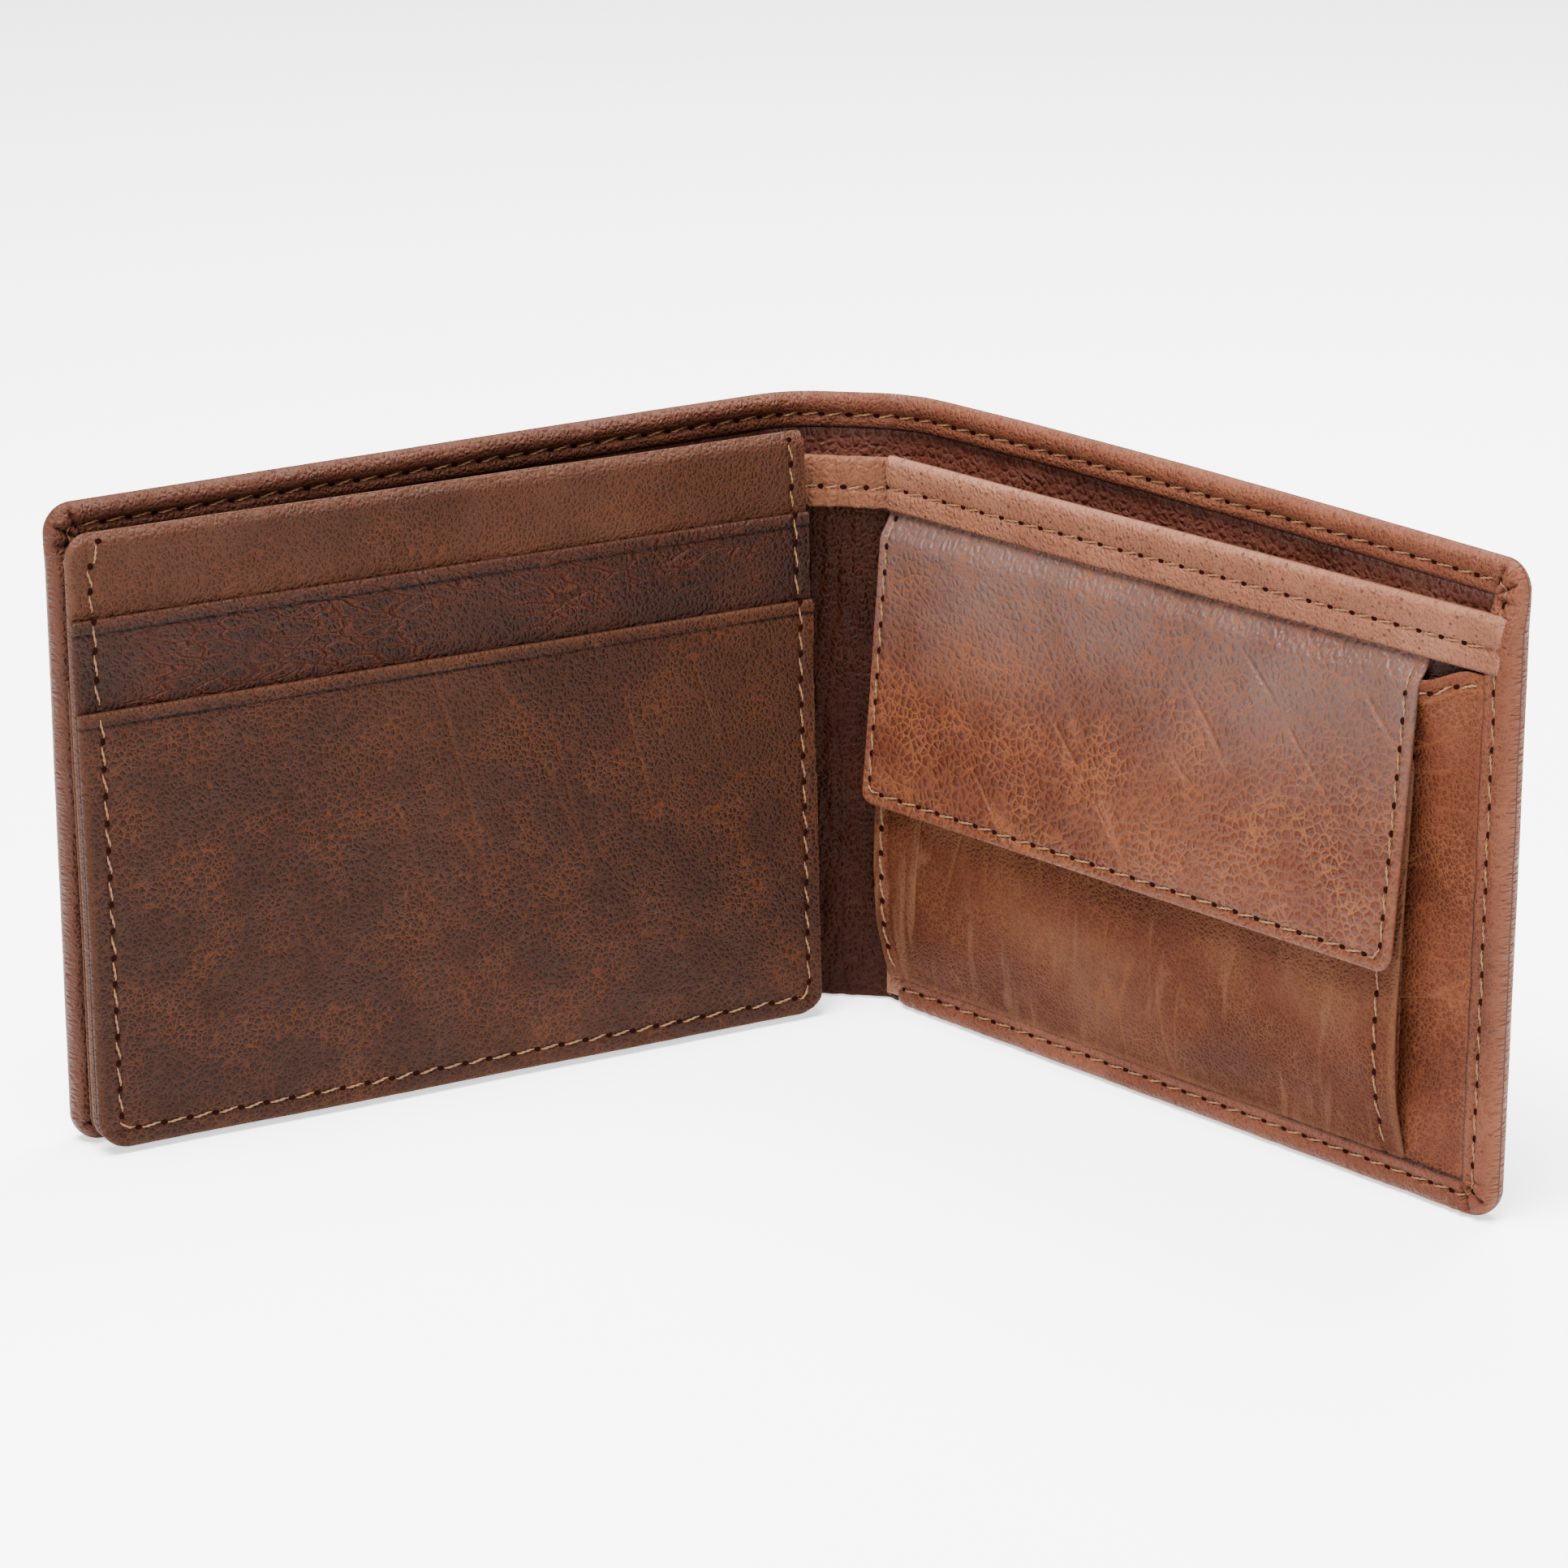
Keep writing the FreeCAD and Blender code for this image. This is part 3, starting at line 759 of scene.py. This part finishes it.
def corner_pleats(u, z):
    """Radial folds where the hem turns round each outer corner."""
    total = np.zeros_like(u)
    for centre_z, sign in ((HEIGHT - CORNER - 1.2, 1.0), (CORNER + 1.2, -1.0)):
        du = u - (COVER_RUN - CORNER - 1.2)
        dz = (z - centre_z) * sign
        r = np.hypot(du, dz)
        angle = np.arctan2(dz, du)
        inside = smooth(-0.25, 0.1, angle) * (1.0 - smooth(1.45, 1.8, angle))
        fold = np.abs(np.sin(angle * 5.2 + 0.4)) ** 0.6 - 0.75
        total += 1.1 * fold * inside * smooth(0.6, 1.8, r) * (1.0 - smooth(4.4, 5.6, r))
    return total


def cover_edge_and_fold_shade(u, z, d):
    """Dark raw edge of the hem, and painted shade in the bottoms of the corner folds."""
    # painted shade: the troughs of the corner pleats are darkened
    folds = 1.6 * np.minimum(corner_pleats(u, z) + 0.25, 0.0)
    return np.clip(1.1 * bell(d, HEM - 0.1, 0.34) - folds, 0.0, 1.0)


def cover_back(u, z, d):
    groove = 0.3 * bell(d, SEAM, 0.4)
    return groove + 0.1 * ripple(u, z, 3, 34.0) - 0.12 * bell(d, 1.4, 1.0)


def build_cover(side):
    place = cover_place(side)
    radii = (0.2, CORNER, CORNER, 0.2)
    sheet = Sheet(place, (0.0, COVER_RUN), (0.0, HEIGHT), cover_front, cover_back, radii, 1.35, True,
                  SIDES[side])
    marks = (COVER_RUN - HEM, COVER_RUN - SEAM)
    rows = (HEIGHT - HEM, HEIGHT - SEAM, SEAM, HEM)
    piece = sheet.build("cover_leather_" + side, MATERIALS["cover"], 0.8, marks, rows, cover_edge_and_fold_shade)
    own = ["cover_" + side, "hem_top_" + side, "hem_end_" + side, "edge_end_" + side, "hem_bottom_" + side,
           "bottom_wall_" + side]
    shared = ["cover_spine", "hem_top_spine", "hem_bottom_spine"] if side == "left" else []
    blend_fold(piece, side, "cover_leather", COVER_BEND, *own, *shared)
    path = border(sheet, SEAM, 0.2, AXIS_X + 3.0)
    nodes = ["stitch_top_" + side, "stitch_end_" + side, "stitch_bottom_" + side]
    nodes += ["stitch_top_spine"] if side == "left" else []
    blend_fold(seam("seam_cover_inside_" + side, sheet, path), side, "thread", COVER_BEND, *nodes)
    blend_fold(seam("seam_cover_outside_" + side, sheet, path, rear=True), side, "thread", COVER_BEND)


def build_lining(side):
    def front(u, z, d):
        puckers = 0.10 * ripple(u, z, 5, 3.0, 3.0) * bell(u, AXIS_X + 4.0, 9.0)
        return 1.75 + 0.16 * ripple(u, z, 4, 14.0) + puckers

    def back(u, z, d):
        return 1.15 + 0.0 * d
    sheet = Sheet(cover_place(side), (0.0, COVER_RUN - 3.0), (1.6, HEIGHT - 1.6), front, back, edge=0.3,
                  cut=True, sign=SIDES[side])
    piece = sheet.build("lining_" + side + "_leather", MATERIALS["lining"], 1.2)
    shared = ["lining_spine"] if side == "left" else []
    blend_fold(piece, side, "lining_leather", COVER_BEND, "lining_" + side, *shared)


# ---- inner panels and the spine strip
BAND_TOP = INNER_TOP + 0.6
BAND_SEAM = 4.6


def band_profile(drop, width):
    """Height of the bound top edge over the panel: a soft roll, the seam and the raw lower edge."""
    on = 1.0 - smooth(width - 0.1, width + 0.08, drop)
    roll = 0.34 * bell(drop, 1.9, 1.5) - 0.36 * bell(drop, BAND_SEAM, 0.45)
    roll = roll + 0.1 * bell(drop, BAND_SEAM + 1.1, 0.6)
    return on * (1.05 + roll - 0.15 * bell(drop, width, 0.25))


def build_inner(side):
    width = BAND_TOP - BAND_LOW

    def front(u, z, d):
        drop = BAND_TOP - z
        wave = 0.06 * ripple(u, z, 6, 4.0, 2.0) * bell(drop, 3.0, 4.0)
        return 0.5 + band_profile(drop, width) + wave + 0.08 * ripple(u, z, 7, 22.0)

    def back(u, z, d):
        return -0.55 - 0.2 * bell(BAND_TOP - z, 2.0, 1.6)

    def line(u, z, d):
        # painted shade in the gap at the outer end of the right panel, below the band
        gap_shade = smooth(97.0, 100.0, u) if side == "right" else 0.0 * u
        gap_shade = gap_shade * (1.0 - smooth(BAND_LOW - 0.6, BAND_LOW - 0.1, z))
        # along the band's lower edge: its dark raw edge, with painted shade under it
        return np.clip(gap_shade + bell(z, BAND_LOW - 0.1, 0.4), 0.0, 1.0)
    sheet = Sheet(inner_place(side), (0.4, HALF - 1.6), (1.3, BAND_TOP), front, back, (0.3,) * 4, 1.0,
                  sign=SIDES[side], shift=AXIS_X)
    rows = (BAND_TOP - BAND_SEAM, BAND_LOW)
    piece = sheet.build("inner_panel_leather_" + side, MATERIALS["band"], 1.0, (), rows, line)
    ride_half(piece, side, "hem_leather", "inner_panel_" + side, "band_" + side)
    path = [(1.0, BAND_TOP - BAND_SEAM), (HALF - 4.6, BAND_TOP - BAND_SEAM)]
    ride_half(seam("seam_band_" + side, sheet, path), side, "thread")


def build_strip(side):
    """Half of the dark gusset between the two inner panels, with its puckered bound edge."""
    width = BAND_TOP - BAND_LOW - 0.4
    top = BAND_TOP - 0.5

    def front(u, z, d):
        drop = top - z
        pucker = 0.32 * ripple(u, z, 8, 1.7, 7.0) * (1.0 - smooth(width, width + 1.0, drop))
        wrinkle = 0.22 * ripple(u, z, 9, 2.6, 6.0)
        sunk = 0.5 * bell(u, 0.6, 1.2)
        return 0.05 + band_profile(drop, width) * 0.7 + pucker + wrinkle - sunk

    def back(u, z, d):
        return -0.7 + 0.0 * d
    sheet = Sheet(inner_place(side), (-AXIS_X, 3.4), (0.3, top), front, back, edge=0.8, cut=True,
                  sign=SIDES[side], shift=AXIS_X)
    rows = (top - BAND_SEAM, top - width)
    piece = sheet.build("spine_strip_leather_" + side, MATERIALS["strip"], 0.45, (), rows)
    nodes = ["spine_strip", "band_spine"] if side == "left" else []
    blend_fold(piece, side, "inner_leather", STRIP_BEND, *nodes)
    path = [(-AXIS_X + 0.1, top - BAND_SEAM), (0.2, top - BAND_SEAM)]
    nodes = ["stitch_band_spine"] if side == "left" else []
    blend_fold(seam("seam_strip_" + side, sheet, path), side, "thread", STRIP_BEND, *nodes)


# ---- right half: slip pocket, coin pocket, flap
SLIP_TOP = BAND_LOW - 0.2


def slip_place(u, v, z):
    """Inner panel place with the mouth of the slip pocket sagging behind and beside the coin pocket."""
    inner = 1.0 - smooth(COIN_HIGH[0] + 1.0, COIN_HIGH[0] + 9.0, u)
    sag = 2.6 * inner * smooth(SLIP_TOP - 14.0, SLIP_TOP, z)
    return inner_place("right")(u, v, z - sag)


def build_slip():
    def lift(u, z):
        return 1.3 * smooth(SLIP_TOP - 16.0, SLIP_TOP, z) * bell(u, COIN_HIGH[0] + 1.0, 5.5)

    def front(u, z, d):
        drop = SLIP_TOP - z
        turned = 0.25 * (1.0 - smooth(3.2, 3.4, drop)) - 0.2 * bell(drop, 2.0, 0.35)
        return 0.95 + lift(u, z) + turned + 0.22 * ripple(u, z, 10, 11.0) * smooth(1.0, 9.0, d)

    def back(u, z, d):
        return 0.58 + lift(u, z)
    u_range = (2.4, HALF - HEM + 0.4)
    sheet = Sheet(slip_place, u_range, (HEM - 0.6, SLIP_TOP), front, back, edge=0.35)
    piece = sheet.build("slip_pocket_leather", MATERIALS["slip"], 1.0, (), (SLIP_TOP - 2.0,))
    ride_half(piece, "right", "pocket_leather", "slip_pocket")
    path = [(COIN_HIGH[0] - 1.0, SLIP_TOP - 2.0), (u_range[1] - 0.6, SLIP_TOP - 2.0)]
    ride_half(seam("seam_slip_mouth", sheet, path), "right", "thread")


COIN_SLOPE = (COIN_HIGH[1] - COIN_LOW[1] - 0.8) / (COIN_HIGH[2] - COIN_LOW[2])


def coin_back(z):
    """Back of the pocket's front: leaning out below the mouth, drawn in again where the hem holds it."""
    lean = (COIN_HIGH[2] - z) * COIN_SLOPE * smooth(0.0, 28.0, z)
    return COIN_LOW[1] + lean - (COIN_LOW[1] - 0.4) * (1.0 - smooth(5.0, 15.0, z))


def build_coin():
    def front(u, z, d):
        soft = 0.22 * ripple(u, z, 11, 24.0) + 0.12 * ripple(u, z, 12, 7.0, 3.0)
        seams = -0.28 * bell(u, COIN_LOW[0] + 1.6, 0.5) - 0.28 * bell(u, COIN_HIGH[0] - 2.6, 0.5)
        return coin_back(z) + 0.55 + 0.4 * smooth(4.8, 8.0, z) + soft * smooth(0.0, 4.0, d) + seams

    def back(u, z, d):
        return coin_back(z) + 0.0 * d
    low = COIN_LOW[2] + 0.4
    u_range = (COIN_LOW[0] - 1.6, COIN_HIGH[0] + 0.8)
    marks = (COIN_LOW[0] + 1.6, COIN_HIGH[0] - 2.6)
    sheet = Sheet(inner_place("right"), u_range, (low, COIN_HIGH[2]), front, back, (0.4, 0.4, 3.0, 0.4), 0.75)
    piece = sheet.build("coin_pocket_leather", MATERIALS["coin"], 0.9, marks)
    ride_half(piece, "right", "pocket_leather", "coin_front", "coin_base")
    for name, u in (("inner", COIN_LOW[0] + 0.4), ("outer", COIN_HIGH[0] - 2.6)):
        path = [(u, COIN_HIGH[2] - 1.0), (u, low + 1.5)]
        ride_half(seam("seam_coin_" + name, sheet, path), "right", "thread")
    for name, u, way in (("inner", COIN_LOW[0] + 1.0, 1.0), ("outer", COIN_HIGH[0] - 0.8, -1.0)):
        build_gusset(name, u, way)


def build_gusset(name, u_edge, way):
    """Bellows fold that joins a side of the coin pocket to the panel behind it."""
    place = inner_place("right")
    depth = 5.0

    def fold(a, w, z):
        share = a / depth
        v = 1.3 + share * (coin_back(z) + 0.1 - 1.3)
        return place(u_edge + w + way * 1.8 * np.sin(math.pi * share), v, z)
    front, back = plate(0.25, -0.25)
    sheet = Sheet(fold, (0.0, depth), (COIN_LOW[2] + 1.4, 60.0), front, back, edge=0.2)
    piece = sheet.build("coin_gusset_leather_" + name, MATERIALS["slip"], 0.8)
    ride_half(piece, "right", "inner_leather", "coin_gusset_" + name)


FLAP_SLOPE = math.tan(math.radians(5.2))
FLAP_TUCK = 78.3            # top of the flap, hidden under the band
FLAP_SEAM_TOP = 75.6


def flap_middle(z):
    """Middle of the flap: tucked under the band at the top, leaning out below."""
    lean = FLAP_LOW[1] + 0.1 + (FLAP_HIGH[2] - z) * FLAP_SLOPE
    return lean - (lean - 0.3) * smooth(72.6, 76.3, z)


def build_flap():
    inset = 1.9

    def front(u, z, d):
        soft = 0.18 * ripple(u, z, 13, 26.0) + 0.1 * ripple(u, z, 14, 6.0)
        crease = 0.3 * ripple(u + 0.8 * z, z - 0.8 * u, 15, 7.0, 9.0) * bell(u - 0.9 * z, 20.0, 22.0)
        groove = -0.3 * bell(d, inset, 0.45) * (1.0 - smooth(74.0, 76.0, z))
        return flap_middle(z) + 0.6 + (soft + crease * 0.5) * smooth(1.0, 6.0, d) + groove

    def back(u, z, d):
        return flap_middle(z) - 0.5 + 0.0 * d
    u_range = (FLAP_LOW[0] - 1.0, FLAP_HIGH[0])
    z_range = (FLAP_LOW[2], FLAP_TUCK)
    sheet = Sheet(inner_place("right"), u_range, z_range, front, back, (2.6, 2.6, 0.3, 0.3), 0.6)
    marks = (sheet.u_range[0] + inset, sheet.u_range[1] - inset)
    piece = sheet.build("coin_flap_leather", MATERIALS["flap"], 0.8, marks, (FLAP_LOW[2] + inset,))
    blend_flap(piece, "pocket_leather", "flap_outer", "flap_lining")
    left, right = marks
    low = FLAP_LOW[2] + inset
    path = [(left, FLAP_SEAM_TOP), (left, low + 1.0), (left + 1.0, low),
            (right - 1.0, low), (right, low + 1.0), (right, FLAP_SEAM_TOP)]
    blend_flap(seam("seam_flap", sheet, path), "thread", "stitch_flap_inner", "stitch_flap_outer")


def blend_flap(piece, slot, *nodes):
    """Bake the piece's transform into its mesh and hide the CAD nodes it replaces."""
    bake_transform(piece)
    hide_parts(*nodes)


# ---- left half: card leaf
LEAF_OUTER = LEAF_HIGH[0] - 3.0     # seam lines of the leaf
LEAF_INNER = LEAF_LOW[0] + 2.0
LEAF_BASE = LEAF_LOW[2] + 2.2
LIP_LINE = 1.95                     # pressed line below a slot's mouth
LEAF_CORNER = 4.6


def leaf_lean(u, z):
    """The free leaf hangs a little forward of the panel, more so near the spine."""
    low = np.clip((LEAF_HIGH[2] - z) / (LEAF_HIGH[2] - LEAF_LOW[2]), 0.0, 1.0)
    return low * (4.2 - 2.4 * np.clip(u / LEAF_HIGH[0], 0.0, 1.0)) + 0.22 * ripple(u, z, 16, 46.0)


def leaf_layer(name, z_high, v_low, v_high, turned, radii, edge, *nodes):
    """One layer of the leaf; a turned mouth has a burnished lip and a pressed line below it."""
    def front(u, z, d):
        drop = z_high - z
        lip = 0.14 * (1.0 - smooth(1.5, 1.75, drop)) - 0.12 * bell(drop, LIP_LINE, 0.25) if turned else 0.0
        groove = -0.2 * bell(u, LEAF_OUTER, 0.4) - 0.2 * bell(u, LEAF_INNER, 0.4)
        groove = groove - 0.2 * bell(z, LEAF_BASE, 0.4)
        rolled = 0.0 if turned else -0.9 * (1.0 - smooth(0.0, 2.6, drop)) ** 2
        return v_high + leaf_lean(u, z) + lip + groove + rolled + 0.05 * ripple(u, z, 17, 5.0)

    def back(u, z, d):
        return v_low + leaf_lean(u, z)

    def line(u, z, d):
        faded = smooth(-0.5, 0.3, ripple(u, 0.0 * z, 18, 26.0)) * 0.6 + 0.4
        return bell(z_high - z, LIP_LINE, 0.22) * faded if turned else 0.0 * u
    u_range = (LEAF_LOW[0] - 0.9, LEAF_HIGH[0] + 0.3)
    z_range = (LEAF_LOW[2] - 0.5, z_high)
    sheet = Sheet(inner_place("left"), u_range, z_range, front, back, radii, edge, sign=-1.0, shift=AXIS_X)
    rows = (z_high - LIP_LINE, LEAF_BASE)
    columns = (LEAF_OUTER, LEAF_INNER)
    material = MATERIALS.get(name, MATERIALS["inner"])
    piece = sheet.build(name + "_leather", material, 0.9, columns, rows, line)
    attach(piece, "card_leaf")
    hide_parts(*nodes)
    return sheet


def build_leaf():
    low = LEAF_CORNER
    slot_radii = (low, low, 0.2, 0.2)
    leaf_layer("leaf_rear", SLOT_REAR, 2.1, 2.65, False, (low, low, 0.3, 0.3), 0.25, "leaf_rear_pocket")
    top = leaf_layer("leaf_top", LEAF_HIGH[2] + 0.4, 2.6, 4.0, False, (low, low, 3.6, 1.6), 0.65,
                     "leaf_top_panel", "leaf_lining")
    upper = leaf_layer("leaf_upper", SLOT_ONE, 3.9, 4.75, True, slot_radii, 0.35, "leaf_pocket_upper")
    lower = leaf_layer("leaf_lower", SLOT_TWO, 4.65, 5.7, True, slot_radii, 0.45, "leaf_pocket_lower")
    build_leaf_seams(top, upper, lower)
    build_leaf_hinge()


def build_leaf_seams(top, upper, lower):
    """Each stretch of the seam lies on the layer that is foremost there."""
    outer = LEAF_OUTER
    inner = LEAF_INNER
    base = LEAF_BASE
    start = LEAF_HIGH[2] - 0.8
    round_bottom = [(inner, base + 1.2), (inner + 1.2, base), (outer - 1.2, base), (outer, base + 1.2)]
    spans = [
        ("top", top, [(inner, start), (inner, SLOT_ONE + 0.3)], ()),
        ("top_outer", top, [(outer - 1.6, start), (outer, LEAF_HIGH[2] - 4.6), (outer, SLOT_ONE + 0.3)], ()),
        ("upper", upper, [(inner, SLOT_ONE - 0.2), (inner, SLOT_TWO + 0.2)], ()),
        ("upper_outer", upper, [(outer, SLOT_ONE - 0.2), (outer, SLOT_TWO + 0.2)], ()),
        ("lower", lower, [(inner, SLOT_TWO - 0.2)] + round_bottom + [(outer, SLOT_TWO - 0.2)],
         ("stitch_leaf_inner", "stitch_leaf_outer", "stitch_leaf_bottom")),
    ]
    for name, sheet, path, nodes in spans:
        piece = seam("seam_leaf_" + name, sheet, path)
        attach(piece, "card_leaf")
        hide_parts(*nodes)


def build_leaf_hinge():
    """Strip sewn to the left band that runs up to the leaf's top fold."""
    x, y, z = JOINTS["leaf_flip"]["pos_m"]
    low = INNER_TOP - 5.0

    def middle(height):
        return 1.75 + 1.1 * smooth(INNER_TOP + 0.6, LEAF_HIGH[2], height)

    def front(u, height, d):
        return middle(height) + 0.25 + 0.05 * ripple(u, height, 19, 5.0)

    def back(u, height, d):
        return middle(height) - 0.25
    u_range = (LEAF_LOW[0] + 1.5, LEAF_HIGH[0] - 3.5)
    sheet = Sheet(inner_place("left"), u_range, (low, z * MM), front, back, edge=0.25, sign=-1.0)
    piece = sheet.build("leaf_hinge_leather", MATERIALS["leaf_top"], 0.8)
    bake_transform(piece)
    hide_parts("leaf_hinge_strip")


# ---- snap under the flap
def lathe(name, centre, axis, profile, material):
    """Turned part: (radius, height) pairs spun round an axis."""
    axis = np.asarray(axis, float)
    side = np.cross(axis, (0.0, 0.0, 1.0))
    side /= np.linalg.norm(side)
    other = np.cross(axis, side)
    ring = 40
    points = []
    faces = []
    for radius, height in profile:
        for k in range(ring):
            spin = 2.0 * math.pi * k / ring
            out = side * math.cos(spin) + other * math.sin(spin)
            points.append(centre + axis * height + out * radius)
    for level in range(len(profile) - 1):
        for k in range(ring):
            after = (k + 1) % ring
            low = level * ring
            faces.append([low + k, low + after, low + ring + after, low + ring + k])
    faces.append(list(range(ring))[::-1])
    faces.append([(len(profile) - 1) * ring + k for k in range(ring)])
    return mesh_piece(name, np.array(points), faces, material)


SNAP_PROFILE = [(3.6, -0.05), (3.7, 0.15), (3.5, 0.35), (2.6, 0.42), (2.3, 0.25), (1.6, 0.22), (1.4, 0.4),
                (0.5, 0.42)]
SNAP_RAISED = 2.6           # higher than the CAD discs, so that the flap hides both


def build_snap():
    forward = np.array([-math.sin(TURN), -math.cos(TURN), 0.0])
    rings = {"snap_socket": (1.0, "right_half"), "snap_stud": (-1.0, "coin_flap")}
    for node, (way, body) in rings.items():
        low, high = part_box(node)
        centre = np.array((low + high) / 2.0) * MM - forward * way * 0.2 + np.array([0.0, 0.0, SNAP_RAISED])
        piece = lathe(node + "_metal", centre, forward * way, SNAP_PROFILE, MATERIALS["metal"])
        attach(piece, body)
        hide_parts(node)


# ---- studio
def build_stage():
    mesh = bpy.data.meshes.new("floor")
    size = 4.0
    corners = [(-size, -size, 0), (size, -size, 0), (size, size, 0), (-size, size, 0)]
    mesh.from_pydata(corners, [], [(0, 1, 2, 3)])
    floor = bpy.data.objects.new("floor", mesh)
    bpy.context.scene.collection.objects.link(floor)
    paint = bpy.data.materials.new("floor_paint")
    paint.use_nodes = True
    inputs = paint.node_tree.nodes["Principled BSDF"].inputs
    inputs["Base Color"].default_value = (0.97, 0.97, 0.97, 1.0)
    inputs["Emission Color"].default_value = (1.0, 1.0, 1.0, 1.0)
    inputs["Emission Strength"].default_value = 1.1
    inputs["Roughness"].default_value = 0.9
    floor.data.materials.append(paint)


def soft_light(name, place, target, size, power):
    light = bpy.data.lights.new(name, "AREA")
    light.shape = "DISK"
    light.size = size
    light.energy = power
    lamp = bpy.data.objects.new(name, light)
    lamp.location = place
    lamp.rotation_euler = (Vector(target) - Vector(place)).to_track_quat("-Z", "Y").to_euler()
    bpy.context.scene.collection.objects.link(lamp)


def build_lights():
    world = bpy.data.worlds.new("studio")
    world.use_nodes = True
    world.node_tree.nodes["Background"].inputs["Color"].default_value = (1.0, 1.0, 1.0, 1.0)
    world.node_tree.nodes["Background"].inputs["Strength"].default_value = 1.0
    bpy.context.scene.world = world
    soft_light("key", (-0.15, -0.25, 0.95), (0.0, 0.0, 0.04), 0.6, 52.0)
    soft_light("rim", (0.2, 0.5, 0.8), (0.0, 0.0, 0.06), 0.5, 18.0)
    soft_light("fill", (0.7, -0.8, 0.5), (0.03, 0.0, 0.04), 0.6, 5.0)


def build_camera():
    """Long lens, raised about 18 degrees and turned about 8 degrees from the front."""
    camera = bpy.data.cameras.new("camera")
    camera.sensor_width = 36.0
    camera.lens = 118.87
    eye = bpy.data.objects.new("camera", camera)
    eye.location = (0.09657, -0.68996, 0.27451)
    pitch, yaw = math.radians(18.24), math.radians(8.28)
    eye.rotation_euler = (math.pi / 2.0 - pitch, 0.0, yaw)
    bpy.context.scene.collection.objects.link(eye)
    bpy.context.scene.camera = eye


for half in SIDES:
    build_cover(half)
    build_lining(half)
    build_inner(half)
    build_strip(half)
build_slip()
build_coin()
build_flap()
build_leaf()
build_snap()
build_stage()
build_lights()
build_camera()
